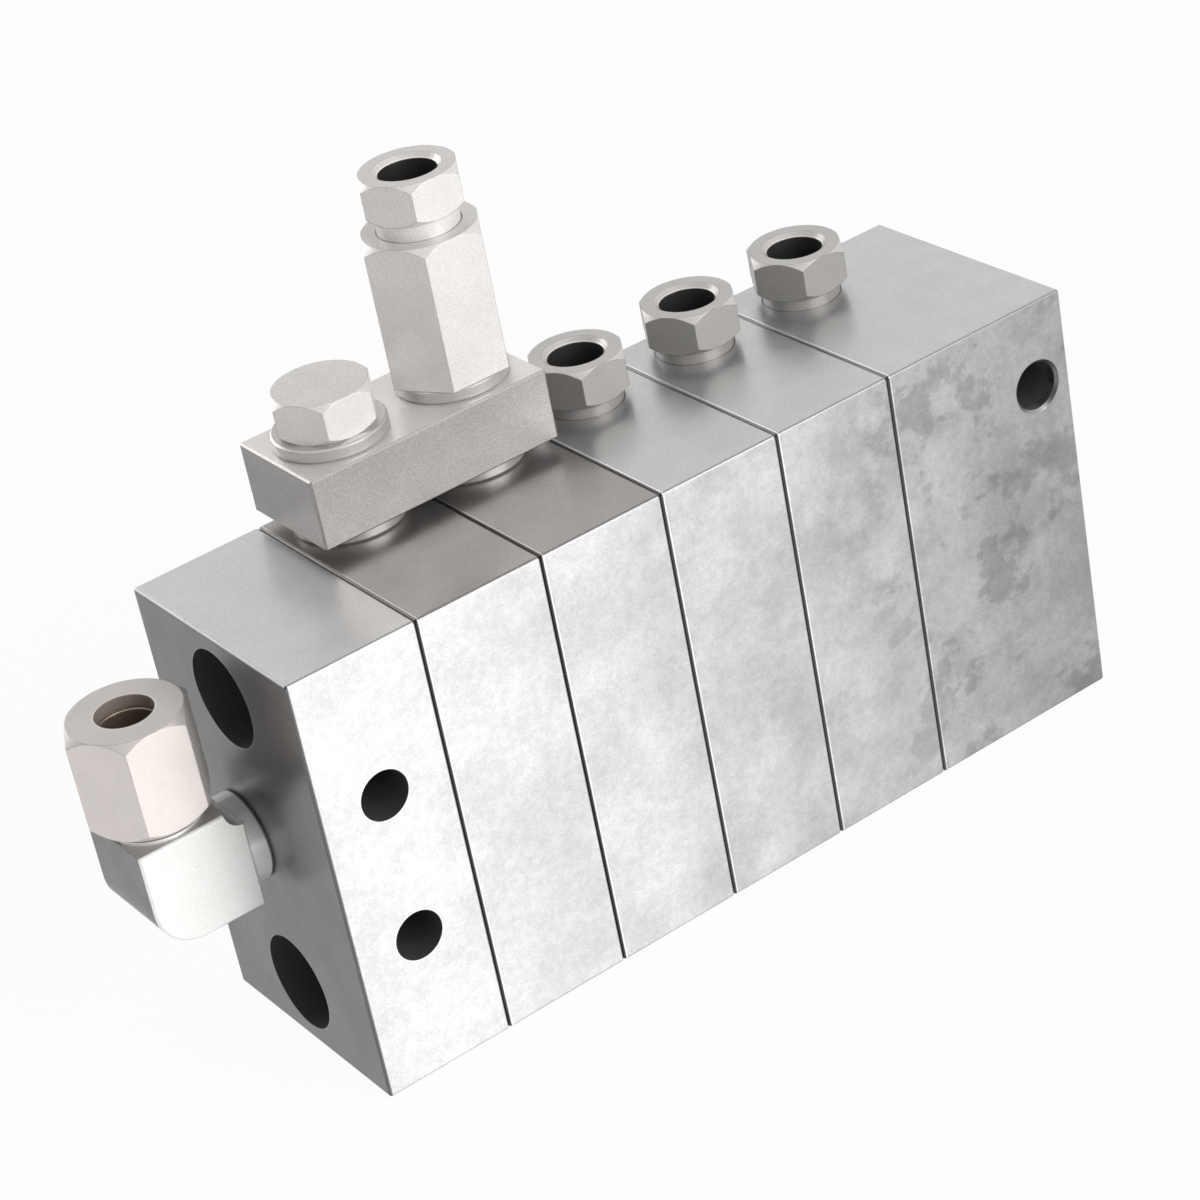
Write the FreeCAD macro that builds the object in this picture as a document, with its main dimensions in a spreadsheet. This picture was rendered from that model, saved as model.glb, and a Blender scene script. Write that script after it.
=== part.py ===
import FreeCAD, Part
import os
import re
import Sketcher

# Lubricant divider block: a row of slices held by two long screws. The first slice
# takes the grease in, each later one holds a spool piston that meters it out.
#
# Frame: millimetres, +X along the row away from the inlet, +Y to the back face,
# +Z up, with the origin in the middle of the block's bottom face.
# Threads are drawn plain, at the root of the thread in the block.

os.makedirs("parts", exist_ok=True)
doc = FreeCAD.newDocument("lubricant_divider_block")

# How many slices hold a piston, and how many of those are alike
FEEDERS = 5
MIDDLE_SECTIONS = FEEDERS - 1

SIZES = [
    # Block and its slices
    ("section_pitch", 15.1),
    ("end_section_length", 24.5),
    ("block_depth", 30.0),
    ("block_height", 50.0),
    ("edge_round", 0.35),
    # Two long screws that clamp the slices together
    ("tie_depth", 15.0),
    ("tie_spacing", 35.3),
    ("tie_hole_radius", 3.3),
    ("tie_head_hole_radius", 5.5),
    ("tie_head_hole_depth", 11.5),
    ("tie_shank_radius", 3.0),
    ("tie_head_radius", 5.0),
    ("tie_head_height", 6.0),
    ("tie_head_chamfer", 0.5),
    ("tie_socket_flats", 5.0),
    ("tie_socket_depth", 3.0),
    ("tie_thread_hole_radius", 2.55),
    ("tie_thread_reach", 11.0),
    ("tie_thread_spare", 3.0),
    ("tie_thread_relief", 1.0),
    # Mounting holes from front to back
    ("mount_hole_radius", 2.75),
    ("mount_hole_inset", 7.5),
    ("mount_hole_spacing", 17.1),
    ("end_hole_inset", 4.6),
    ("end_hole_drop", 9.9),
    ("end_hole_chamfer", 0.35),
    # Supply
    ("inlet_depth", 18.0),
    ("inlet_port_depth", 9.5),
    ("inlet_thread_reach", 8.0),
    ("gallery_radius", 2.0),
    # Outlet ports, the same on top and below
    ("outlet_depth", 23.5),
    ("port_radius", 4.45),
    ("port_depth", 10.0),
    ("thread_gap", 0.05),
    ("tube_bore_radius", 3.05),
    ("tube_stop_depth", 1.5),
    ("outlet_bore_radius", 1.25),
    ("drill_tip_height", 0.7),
    ("passage_radius", 1.0),
    # Spool pistons and their bores
    ("piston_depth", 6.5),
    ("piston_radius", 3.0),
    ("piston_gap", 0.03),
    ("port_step", 5.0),
    ("piston_stroke", 5.0),
    ("stroke_end_gap", 0.2),
    ("waist_radius", 2.0),
    ("land_lap", 0.5),
    ("nose_length", 2.2),
    ("nose_radius", 1.5),
    ("bore_plug_radius", 3.95),
    ("bore_plug_inset", 0.3),
    ("bore_plug_socket_flats", 4.0),
    ("bore_plug_socket_depth", 3.0),
    # Small plugs that close the cross drillings at the back
    ("drilling_plug_radius", 1.55),
    ("drilling_plug_length", 2.6),
    ("drilling_plug_inset", 0.2),
    # Pilot slots in the joint faces and the seals round them
    ("slot_depth", 1.2),
    ("slot_margin", 0.2),
    ("seal_land", 0.5),
    ("seal_width", 1.2),
    ("seal_depth", 1.0),
    ("seal_gap", 0.05),
    # Hollow union screws and the double-cone sleeves below them
    ("union_flats", 10.0),
    ("union_head_height", 4.5),
    ("union_neck_radius", 4.35),
    ("union_neck_height", 1.5),
    ("union_countersink", 0.55),
    ("union_cone_width", 0.8),
    ("sleeve_lip", 0.25),
    ("sleeve_mouth", 0.12),
    ("sleeve_wall", 0.85),
    ("sleeve_length", 5.5),
    ("sleeve_gap", 0.05),
    # Plugs in the bottom ports
    ("closure_plug_inset", 0.2),
    ("closure_socket_flats", 5.0),
    ("closure_socket_depth", 4.0),
    # Bar that joins the first two outlets, and its sealing rings
    ("bar_end", 7.0),
    ("bar_width", 14.0),
    ("bar_thickness", 8.0),
    ("bar_edge", 0.2),
    ("bar_gap", 0.2),
    ("bar_bore_radius", 2.0),
    ("bar_plug_radius", 2.55),
    ("bar_plug_length", 2.8),
    ("bar_plug_inset", 0.2),
    ("ring_radius", 6.1),
    ("ring_thickness", 1.5),
    ("ring_gap", 0.15),
    ("ring_edge", 0.2),
    # Solid screw in the first outlet
    ("screw_head_height", 4.5),
    ("screw_thread_reach", 8.0),
    ("screw_waist_radius", 3.6),
    ("screw_waist_height", 5.0),
    ("screw_bore_radius", 1.6),
    ("screw_cross_radius", 1.4),
    # Check valve in the second outlet
    ("valve_flats", 12.0),
    ("valve_height", 16.0),
    ("valve_neck_height", 1.9),
    ("valve_bore_radius", 1.1),
    ("valve_cross_radius", 0.9),
    ("valve_seat_drop", 3.8),
    ("valve_chamber_radius", 2.1),
    ("ball_radius", 1.75),
    ("ball_gap", 0.05),
    ("spring_radius", 1.2),
    ("spring_wire_radius", 0.2),
    ("spring_turns", 4),
    ("spring_gap", 0.05),
    ("retainer_radius", 2.6),
    ("retainer_thickness", 0.8),
    ("retainer_bore_radius", 1.1),
    ("retainer_gap", 0.05),
    # Inlet elbow and its union nut
    ("elbow_width", 11.0),
    ("elbow_back", 5.0),
    ("elbow_front", 6.9),
    ("elbow_rise", 7.0),
    ("elbow_notch_radius", 2.0),
    ("elbow_edge", 0.2),
    ("elbow_bore_radius", 1.5),
    ("collar_radius", 5.0),
    ("collar_length", 2.3),
    ("collar_edge", 0.25),
    ("leg_radius", 5.0),
    ("leg_stop_height", 10.8),
    ("nut_flats", 12.0),
    ("nut_height", 11.5),
    ("nut_roof", 1.3),
    ("nut_draw_gap", 0.65),
]

sheet = doc.addObject("Spreadsheet::Sheet", "sizes")
for row, (name, value) in enumerate(SIZES, start=1):
    sheet.set("A%d" % row, name)
    sheet.set("B%d" % row, str(value))
    sheet.setAlias("B%d" % row, name)
doc.recompute()

# Levels and places that several pieces share, as formulas of the sizes above
MID_HEIGHT = "(block_height / 2)"
HALF_PITCH = "(section_pitch / 2)"
LEFT_END = f"(-({FEEDERS} * section_pitch + end_section_length) / 2)"
FRONT = "(-block_depth / 2)"
BACK = "(block_depth / 2)"
# Spool piston: half the length over the lands, half the length of the bore, the
# edges of the two grooves and the level of the ports at the bore's ends
LANDS_HALF = "(2 * port_step + passage_radius + piston_stroke / 2 + land_lap)"
PISTON_HALF = f"({LANDS_HALF} + nose_length)"
BORE_HALF = f"({PISTON_HALF} + piston_stroke / 2 + stroke_end_gap)"
GROOVE_START = "(piston_stroke / 2 - passage_radius)"
GROOVE_END = "(port_step + passage_radius + piston_stroke / 2)"
END_PORT = f"({BORE_HALF} - nose_length / 2)"
# Threads in the ports, sleeves on their seats and the screws that press on them
THREAD_RADIUS = "(port_radius - thread_gap)"
SEAT_HEIGHT = "(port_radius - tube_bore_radius)"
SLEEVE_FOOT = f"(port_depth + {SEAT_HEIGHT} - sleeve_lip - sleeve_gap)"
SLEEVE_LIP_RADIUS = "(tube_bore_radius + sleeve_lip)"
UNION_REACH = f"({SLEEVE_FOOT} - sleeve_length + union_cone_width - sleeve_lip - sleeve_gap)"
# Below the heads of the two screws through the bar
STACK_HEIGHT = "(2 * ring_thickness + bar_thickness)"
BAR_MIDDLE = "(ring_thickness + bar_thickness / 2)"
SCREW_REACH = f"({STACK_HEIGHT} + screw_thread_reach)"
HEAD_LEVEL = f"(block_height + {STACK_HEIGHT})"
BAR_LEVEL = "(block_height + ring_thickness)"
# Inside the check valve, up from the underside of its head
VALVE_SEAT_APEX = "(-valve_seat_drop - valve_bore_radius)"
VALVE_STOP = f"(valve_height - port_depth - {SEAT_HEIGHT} - tube_stop_depth)"
BALL_LEVEL = f"({VALVE_SEAT_APEX} + sqrt(2) * (ball_radius + ball_gap))"
SPRING_SEAT = "(ball_radius + spring_wire_radius + spring_gap)"
SPRING_FOOT = f"({BALL_LEVEL} + sqrt({SPRING_SEAT} * {SPRING_SEAT} - spring_radius * spring_radius))"
RETAINER_FOOT = f"({VALVE_STOP} - retainer_thickness)"
SPRING_HEIGHT = f"({RETAINER_FOOT} - spring_wire_radius - spring_gap - {SPRING_FOOT})"
# On the elbow's upright leg, up from where its two bores cross
LEG_SEAT = "(leg_stop_height + tube_stop_depth)"
LEG_SLEEVE_FOOT = f"({LEG_SEAT} + sleeve_lip + sleeve_gap)"
NUT_CONE_TOP = f"({LEG_SLEEVE_FOOT} + sleeve_length + sleeve_lip + sleeve_gap)"
NUT_FOOT = f"({NUT_CONE_TOP} + nut_roof - nut_height)"
LEG_TOP = f"({NUT_CONE_TOP} - sleeve_wall - nut_draw_gap)"

SIZE_NAME = re.compile(r"\b[a-z]+(?:_[a-z]+)+\b")
pieces = []
cuts = []


def bound(formula):
    """Give a formula of size names as an expression on the sheet."""
    return SIZE_NAME.sub(lambda match: "sizes." + match.group(0), formula)


def value_of(formula):
    """Give what a formula comes to, for the first drawing of a line or circle."""
    return float(sheet.evalExpression(bound(formula)))


def place(piece, label, at):
    """Name a piece and tie its place to the sizes."""
    piece.Label = label
    for letter, formula in zip("xyz", at):
        piece.setExpression("Placement.Base." + letter, bound(formula))
    pieces.append(piece)


def new_body(label, at):
    """Start a piece whose own origin lies at the point given."""
    body = doc.addObject("PartDesign::Body", label)
    place(body, label, at)
    return body


def origin_part(body, role):
    """Find one of the body's own origin planes or axes."""
    return next(part for part in body.Origin.OriginFeatures if part.Role == role)


def new_sketch(body, plane, along_normal="0", across="0"):
    """Start a sketch on an origin plane, moved along its normal and sideways."""
    sketch = body.newObject("Sketcher::SketchObject", body.Name + "_sketch")
    sketch.AttachmentSupport = [(origin_part(body, plane + "_Plane"), "")]
    sketch.MapMode = "FlatFace"
    sketch.setExpression("AttachmentOffset.Base.z", bound(along_normal))
    sketch.setExpression("AttachmentOffset.Base.x", bound(across))
    return sketch


def tie(sketch, constraint, formula):
    """Add a sketch constraint whose value is a formula of the sizes."""
    index = sketch.addConstraint(constraint)
    name = "size_%d" % index
    sketch.renameConstraint(index, name)
    sketch.setExpression("Constraints." + name, bound(formula))


def add_outline(sketch, corners):
    """Draw a closed outline through corners given as pairs of formulas."""
    points = [FreeCAD.Vector(value_of(x), value_of(y), 0) for x, y in corners]
    first = sketch.GeometryCount
    count = len(points)
    for number, point in enumerate(points):
        following = points[(number + 1) % count]
        sketch.addGeometry(Part.LineSegment(point, following), False)
    for number in range(count):
        following = first + (number + 1) % count
        sketch.addConstraint(Sketcher.Constraint("Coincident", first + number, 2, following, 1))
    for number, (x, y) in enumerate(corners):
        line = first + number
        start = points[number]
        tie(sketch, Sketcher.Constraint("DistanceX", -1, 1, line, 1, start.x), x)
        tie(sketch, Sketcher.Constraint("DistanceY", -1, 1, line, 1, start.y), y)


def add_box(sketch, left, right, low, high):
    """Draw a rectangle."""
    add_outline(sketch, [(left, low), (right, low), (right, high), (left, high)])


def add_hexagon(sketch, flats, centre="0"):
    """Draw a hexagon about a point of the sketch's X axis, with two corners on that axis."""
    corner = f"({flats} / sqrt(3))"
    half_corner = f"({flats} / (2 * sqrt(3)))"
    half_flats = f"({flats} / 2)"
    add_outline(sketch, [
        (f"{centre} + {corner}", "0"), (f"{centre} + {half_corner}", half_flats),
        (f"{centre} - {half_corner}", half_flats), (f"{centre} - {corner}", "0"),
        (f"{centre} - {half_corner}", f"-{half_flats}"), (f"{centre} + {half_corner}", f"-{half_flats}"),
    ])


def add_circle(sketch, x, y, radius):
    """Draw a circle."""
    centre = FreeCAD.Vector(value_of(x), value_of(y), 0)
    size = value_of(radius)
    circle = sketch.addGeometry(Part.Circle(centre, FreeCAD.Vector(0, 0, 1), size), False)
    tie(sketch, Sketcher.Constraint("DistanceX", -1, 1, circle, 3, centre.x), x)
    tie(sketch, Sketcher.Constraint("DistanceY", -1, 1, circle, 3, centre.y), y)
    tie(sketch, Sketcher.Constraint("Radius", circle, size), radius)


def pad(body, sketch, length, backward=False):
    """Raise a sketch along its normal, or the other way."""
    feature = body.newObject("PartDesign::Pad", body.Name + "_pad")
    feature.Profile = sketch
    feature.Reversed = backward
    feature.setExpression("Length", bound(length))
    return feature


def pocket(body, sketch, length, forward=False):
    """Cut a sketch against its normal, or along it."""
    feature = body.newObject("PartDesign::Pocket", body.Name + "_pocket")
    feature.Profile = sketch
    feature.Reversed = forward
    feature.setExpression("Length", bound(length))
    cuts.append(feature)
    return feature


def turn(body, corners, axis="V_Axis", across="0", along_normal="0"):
    """Turn an outline in the upright plane into a round solid."""
    sketch = new_sketch(body, "XZ", along_normal, across)
    add_outline(sketch, corners)
    feature = body.newObject("PartDesign::Revolution", body.Name + "_turn")
    feature.Profile = sketch
    feature.ReferenceAxis = (sketch, [axis])
    return feature


def bore(body, corners, axis="V_Axis", across="0", along_normal="0", more=()):
    """Turn one or more outlines in the upright plane into a round cut."""
    sketch = new_sketch(body, "XZ", along_normal, across)
    for outline in (corners, *more):
        add_outline(sketch, outline)
    feature = body.newObject("PartDesign::Groove", body.Name + "_bore")
    feature.Profile = sketch
    feature.ReferenceAxis = (sketch, [axis])
    cuts.append(feature)
    return feature


def repeat(body, features, axis, length, count):
    """Repeat features in a row as separate solids."""
    pattern = body.newObject("PartDesign::LinearPattern", body.Name + "_row")
    pattern.Originals = features
    pattern.Direction = (origin_part(body, axis + "_Axis"), [""])
    pattern.setExpression("Length", bound(length))
    pattern.Occurrences = count
    body.Tip = pattern
    return pattern


def edges_of(feature, wanted):
    """Name the edges of a feature whose middle point passes a test."""
    doc.recompute()
    names = []
    for number, edge in enumerate(feature.Shape.Edges, start=1):
        if wanted(edge.CenterOfMass):
            names.append("Edge%d" % number)
    return names


def round_edges(body, feature, names, radius):
    """Round the named edges of a feature."""
    rounded = body.newObject("PartDesign::Fillet", body.Name + "_round")
    rounded.Base = (feature, names)
    rounded.setExpression("Radius", bound(radius))
    return rounded


def bevel_edges(body, feature, names, size):
    """Bevel the named edges of a feature at 45 degrees."""
    bevelled = body.newObject("PartDesign::Chamfer", body.Name + "_bevel")
    bevelled.Base = (feature, names)
    bevelled.setExpression("Size", bound(size))
    return bevelled


def corner_cuts(flats, low, high, both=True):
    """Give the outlines that bevel a hexagon's corners at 45 degrees."""
    inner = f"({flats} / 2)"
    outer = f"({flats} / sqrt(3))"
    width = f"({outer} - {inner})"
    beyond = f"({outer} + {width})"
    top = [(inner, high), (beyond, high), (beyond, f"{high} - 2 * {width}")]
    bottom = [(inner, low), (beyond, f"{low} + 2 * {width}"), (beyond, low)]
    return [top, bottom] if both else [top]


# The block


def new_slice(label, number, length):
    """Start a slice: a rounded box whose own origin is its lower left front corner."""
    body = new_body(label, (f"{LEFT_END} + {number} * section_pitch", FRONT, "0"))
    outline = new_sketch(body, "XY")
    add_box(outline, "0", length, "0", "block_depth")
    box = pad(body, outline, "block_height")
    round_edges(body, box, edges_of(box, lambda middle: True), "edge_round")
    return body


def cut_tie_holes(body, radius, start, length):
    """Cut the two holes of the long screws, along X from a given start."""
    holes = new_sketch(body, "YZ", start)
    for side in ("+", "-"):
        add_circle(holes, "tie_depth", f"{MID_HEIGHT} {side} tie_spacing / 2", radius)
    pocket(body, holes, length, forward=True)


def cut_gallery(body, length):
    """Cut the supply gallery along X."""
    gallery = new_sketch(body, "YZ")
    add_circle(gallery, "inlet_depth", MID_HEIGHT, "gallery_radius")
    pocket(body, gallery, length, forward=True)


def cut_mount_holes(body, centres):
    """Cut mounting holes from the front face to the back."""
    holes = new_sketch(body, "XZ")
    for x, z in centres:
        add_circle(holes, x, z, "mount_hole_radius")
    pocket(body, holes, "block_depth")


def frame_corners(side, margin):
    """Give the limits of a pilot slot on the joint face, with a margin round it."""
    reach = f"(passage_radius + slot_margin + {margin})"
    near = f"{MID_HEIGHT} {side} (port_step - {reach})"
    far = f"{MID_HEIGHT} {side} ({END_PORT} + {reach})"
    return f"piston_depth - {reach}", f"piston_depth + {reach}", near, far


def add_seal_outlines(sketch, gap):
    """Draw the seals of a joint face, smaller all round by a gap."""
    inner = f"(seal_land + {gap})"
    outer = f"(seal_land + seal_width - {gap})"
    for side in ("+", "-"):
        add_box(sketch, *frame_corners(side, inner))
        add_box(sketch, *frame_corners(side, outer))
    add_circle(sketch, "inlet_depth", MID_HEIGHT, f"gallery_radius + {inner}")
    add_circle(sketch, "inlet_depth", MID_HEIGHT, f"gallery_radius + {outer}")


def cut_port(body, side):
    """Cut an outlet port down from the top face, or up from the bottom one."""
    face = "block_height" if side == "-" else "0"
    floor = f"{face} {side} port_depth"
    seat = f"{floor} {side} {SEAT_HEIGHT}"
    stop = f"{seat} {side} tube_stop_depth"
    opposite = "+" if side == "-" else "-"
    level = f"{MID_HEIGHT} {opposite} 2 * port_step"
    bore(body, [
        ("0", face), ("port_radius", face), ("port_radius", floor), ("tube_bore_radius", seat),
        ("tube_bore_radius", stop), ("outlet_bore_radius", stop), ("outlet_bore_radius", level),
        ("0", f"{level} {side} drill_tip_height"),
    ], across=HALF_PITCH, along_normal="-outlet_depth")


def cut_feeder(body):
    """Cut what every slice with a piston has: bore, ports, drillings and joint face."""
    recess = f"{MID_HEIGHT} - {BORE_HALF}"
    crown = f"{MID_HEIGHT} + {BORE_HALF}"
    running_radius = "piston_radius + piston_gap"
    plug_hole = "bore_plug_radius + thread_gap"
    bore(body, [
        ("0", "0"), (plug_hole, "0"), (plug_hole, recess), (running_radius, recess),
        (running_radius, crown), ("0", crown),
    ], across=HALF_PITCH, along_normal="-piston_depth")
    cut_port(body, "-")
    cut_port(body, "+")

    # Three drillings from the back reach the bore; wider mouths take their plugs
    drillings = new_sketch(body, "XZ", "-piston_depth")
    mouth_depth = "(drilling_plug_length + drilling_plug_inset)"
    mouths = new_sketch(body, "XZ", f"{mouth_depth} - block_depth")
    for steps in (-2, 0, 2):
        level = f"{MID_HEIGHT} + {steps} * port_step"
        add_circle(drillings, HALF_PITCH, level, "passage_radius")
        add_circle(mouths, HALF_PITCH, level, "drilling_plug_radius + thread_gap")
    pocket(body, drillings, "block_depth - piston_depth")
    pocket(body, mouths, mouth_depth)

    # Joint face on the left: pilot slots, the ports at the bore's ends, seal grooves
    slots = new_sketch(body, "YZ")
    ends = new_sketch(body, "YZ")
    for side in ("+", "-"):
        add_box(slots, *frame_corners(side, "0"))
        add_circle(ends, "piston_depth", f"{MID_HEIGHT} {side} {END_PORT}", "passage_radius")
    pocket(body, slots, "slot_depth", forward=True)
    pocket(body, ends, HALF_PITCH, forward=True)
    grooves = new_sketch(body, "YZ")
    add_seal_outlines(grooves, "0")
    pocket(body, grooves, "seal_depth", forward=True)


# Slice that takes the supply in
inlet = new_slice("inlet_section", 0, "section_pitch")
cut_tie_holes(inlet, "tie_hole_radius", "0", "section_pitch")
cut_tie_holes(inlet, "tie_head_hole_radius", "0", "tie_head_hole_depth")
cut_gallery(inlet, "section_pitch")
inlet_port = new_sketch(inlet, "YZ")
add_circle(inlet_port, "inlet_depth", MID_HEIGHT, "port_radius")
pocket(inlet, inlet_port, "inlet_port_depth", forward=True)
cut_mount_holes(inlet, [
    ("mount_hole_inset", f"{MID_HEIGHT} + mount_hole_spacing / 2"),
    ("mount_hole_inset", f"{MID_HEIGHT} - mount_hole_spacing / 2"),
])

# Four like slices, each with the pilot holes that lead to the next slice
for number in range(1, MIDDLE_SECTIONS + 1):
    middle = new_slice("middle_section_%d" % number, number, "section_pitch")
    cut_tie_holes(middle, "tie_hole_radius", "0", "section_pitch")
    cut_gallery(middle, "section_pitch")
    cut_feeder(middle)
    pilots = new_sketch(middle, "YZ", HALF_PITCH)
    for side in ("+", "-"):
        add_circle(pilots, "piston_depth", f"{MID_HEIGHT} {side} port_step", "passage_radius")
    pocket(middle, pilots, HALF_PITCH, forward=True)

# Longer last slice: the gallery and the threaded holes end in it
end = new_slice("end_section", FEEDERS, "end_section_length")
cut_tie_holes(end, "tie_thread_hole_radius", "0", "tie_thread_reach + tie_thread_spare")
cut_gallery(end, f"{HALF_PITCH} + gallery_radius")
cut_feeder(end)
end_hole_x = "end_section_length - end_hole_inset"
end_hole_z = "block_height - end_hole_drop"
cut_mount_holes(end, [(end_hole_x, end_hole_z)])
end_hole = end.Tip
hole_rims = edges_of(end_hole, lambda middle: (
    abs(middle.x - value_of(end_hole_x)) < value_of("thread_gap")
    and abs(middle.z - value_of(end_hole_z)) < value_of("thread_gap")))
bevel_edges(end, end_hole, hole_rims, "end_hole_chamfer")

# Seals in the joint faces
for number in range(1, FEEDERS + 1):
    seals = new_body("joint_seals_%d" % number, (
        f"{LEFT_END} + {number} * section_pitch", FRONT, "0"))
    rims = new_sketch(seals, "YZ")
    add_seal_outlines(rims, "seal_gap")
    pad(seals, rims, "seal_depth")

# Long clamping screws, from their heads' seats in the inlet slice
ties = new_body("tie_screws", (
    f"{LEFT_END} + tie_head_hole_depth", f"{FRONT} + tie_depth", f"{MID_HEIGHT} - tie_spacing / 2"))
head_end = "-tie_head_height"
shank_end = f"({FEEDERS} * section_pitch - tie_head_hole_depth - tie_thread_relief)"
thread_end = f"({FEEDERS} * section_pitch - tie_head_hole_depth + tie_thread_reach)"
thread_radius = "tie_thread_hole_radius - thread_gap"
screw = turn(ties, [
    (head_end, "0"), (head_end, "tie_head_radius - tie_head_chamfer"),
    (f"{head_end} + tie_head_chamfer", "tie_head_radius"), ("0", "tie_head_radius"),
    ("0", "tie_shank_radius"), (shank_end, "tie_shank_radius"), (shank_end, thread_radius),
    (thread_end, thread_radius), (thread_end, "0"),
], axis="H_Axis")
socket_outline = new_sketch(ties, "YZ", head_end)
add_hexagon(socket_outline, "tie_socket_flats")
socket = pocket(ties, socket_outline, "tie_socket_depth", forward=True)
repeat(ties, [screw, socket], "Z", "tie_spacing", 2)

# Pistons, at rest at the lower end of their stroke, and what closes their slices
for number in range(1, FEEDERS + 1):
    piston = new_body("piston_%d" % number, (
        f"{LEFT_END} + {number} * section_pitch + {HALF_PITCH}", f"{FRONT} + piston_depth",
        f"{MID_HEIGHT} - piston_stroke / 2"))
    lower = [
        ("0", f"-{PISTON_HALF}"), ("nose_radius", f"-{PISTON_HALF}"), ("nose_radius", f"-{LANDS_HALF}"),
        ("piston_radius", f"-{LANDS_HALF}"), ("piston_radius", f"-{GROOVE_END}"),
        ("waist_radius", f"-{GROOVE_END}"), ("waist_radius", f"-{GROOVE_START}"),
        ("piston_radius", f"-{GROOVE_START}"),
    ]
    upper = [(radius, level[1:]) for radius, level in reversed(lower)]
    turn(piston, lower + upper)

row_start = f"{LEFT_END} + section_pitch + {HALF_PITCH}"
row_length = f"{FEEDERS - 1} * section_pitch"

bore_plugs = new_body("bore_plugs", (row_start, f"{FRONT} + piston_depth", "0"))
plug = turn(bore_plugs, [
    ("0", "bore_plug_inset"), ("bore_plug_radius", "bore_plug_inset"),
    ("bore_plug_radius", f"{MID_HEIGHT} - {BORE_HALF}"), ("0", f"{MID_HEIGHT} - {BORE_HALF}"),
])
socket_outline = new_sketch(bore_plugs, "XY", "bore_plug_inset")
add_hexagon(socket_outline, "bore_plug_socket_flats")
socket = pocket(bore_plugs, socket_outline, "bore_plug_socket_depth", forward=True)
repeat(bore_plugs, [plug, socket], "X", row_length, FEEDERS)

drilling_plugs = new_body("drilling_plugs", (
    row_start, f"{BACK} - drilling_plug_length - drilling_plug_inset", MID_HEIGHT))
discs = new_sketch(drilling_plugs, "XZ")
for steps in (-2, 0, 2):
    add_circle(discs, "0", f"{steps} * port_step", "drilling_plug_radius")
plug = pad(drilling_plugs, discs, "drilling_plug_length", backward=True)
repeat(drilling_plugs, [plug], "X", row_length, FEEDERS)

closure_plugs = new_body("closure_plugs", (row_start, f"{FRONT} + outlet_depth", "0"))
nose_level = f"port_depth + {THREAD_RADIUS} - {SLEEVE_LIP_RADIUS}"
plug = turn(closure_plugs, [
    ("0", "closure_plug_inset"), (THREAD_RADIUS, "closure_plug_inset"), (THREAD_RADIUS, "port_depth"),
    (SLEEVE_LIP_RADIUS, nose_level), ("0", nose_level),
])
socket_outline = new_sketch(closure_plugs, "XY", "closure_plug_inset")
add_hexagon(socket_outline, "closure_socket_flats")
socket = pocket(closure_plugs, socket_outline, "closure_socket_depth", forward=True)
repeat(closure_plugs, [plug, socket], "X", row_length, FEEDERS)

# Fittings on the outlets


def add_union(label, at, neck_height):
    """Make a hollow union screw, from the face that its port opens in."""
    body = new_body(label, at)
    top = f"({neck_height} + union_head_height)"
    head = new_sketch(body, "XY", neck_height)
    add_hexagon(head, "union_flats")
    pad(body, head, "union_head_height")
    top_cut, bottom_cut = corner_cuts("union_flats", neck_height, top)
    bore(body, top_cut, more=[bottom_cut])
    turn(body, [
        ("tube_bore_radius + union_cone_width", f"-{UNION_REACH}"), (THREAD_RADIUS, f"-{UNION_REACH}"),
        (THREAD_RADIUS, "0"), ("union_neck_radius", "0"), ("union_neck_radius", neck_height),
        ("tube_bore_radius", neck_height), ("tube_bore_radius", f"union_cone_width - {UNION_REACH}"),
    ])
    bore(body, [
        ("0", neck_height), ("tube_bore_radius", neck_height),
        ("tube_bore_radius", f"{top} - union_countersink"),
        ("tube_bore_radius + union_countersink", top), ("0", top),
    ])


def add_sleeve(label, at):
    """Make a double-cone sleeve that grips the tube, from its lower end."""
    body = new_body(label, at)
    outer = "tube_bore_radius + sleeve_wall"
    bevel = "(sleeve_wall - sleeve_lip)"
    mouth_radius = "tube_bore_radius + sleeve_mouth"
    turn(body, [
        ("tube_bore_radius", "sleeve_mouth"), (mouth_radius, "0"), (SLEEVE_LIP_RADIUS, "0"), (outer, bevel),
        (outer, f"sleeve_length - {bevel}"), (SLEEVE_LIP_RADIUS, "sleeve_length"),
        (mouth_radius, "sleeve_length"), ("tube_bore_radius", "sleeve_length - sleeve_mouth"),
    ])


outlet_y = f"{FRONT} + outlet_depth"
for number in range(1, FEEDERS - 1):
    outlet_x = f"{row_start} + {number + 1} * section_pitch"
    add_union("outlet_union_%d" % number, (outlet_x, outlet_y, "block_height"), "union_neck_height")
    add_sleeve("outlet_sleeve_%d" % number, (outlet_x, outlet_y, f"block_height - {SLEEVE_FOOT}"))

# Bar over the first two outlets, its own origin under it on the first axis
SCREW_HOLE = f"({THREAD_RADIUS} + bar_gap)"
valve_x = f"{row_start} + section_pitch"
bar = new_body("crossport_bar", (row_start, outlet_y, BAR_LEVEL))
bar_outline = new_sketch(bar, "XY")
add_box(bar_outline, "-bar_end", "section_pitch + bar_end", "-bar_width / 2", "bar_width / 2")
blank = pad(bar, bar_outline, "bar_thickness")
bevel_edges(bar, blank, edges_of(blank, lambda middle: True), "bar_edge")
bar_holes = new_sketch(bar, "XY")
for hole_x in ("0", "section_pitch"):
    add_circle(bar_holes, hole_x, "0", SCREW_HOLE)
pocket(bar, bar_holes, "bar_thickness", forward=True)
cross_bore = new_sketch(bar, "YZ")
add_circle(cross_bore, "0", "bar_thickness / 2", "bar_bore_radius")
pocket(bar, cross_bore, "section_pitch + bar_end", forward=True)
plug_start = "section_pitch + bar_end - bar_plug_length - bar_plug_inset"
plug_recess = new_sketch(bar, "YZ", plug_start)
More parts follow.
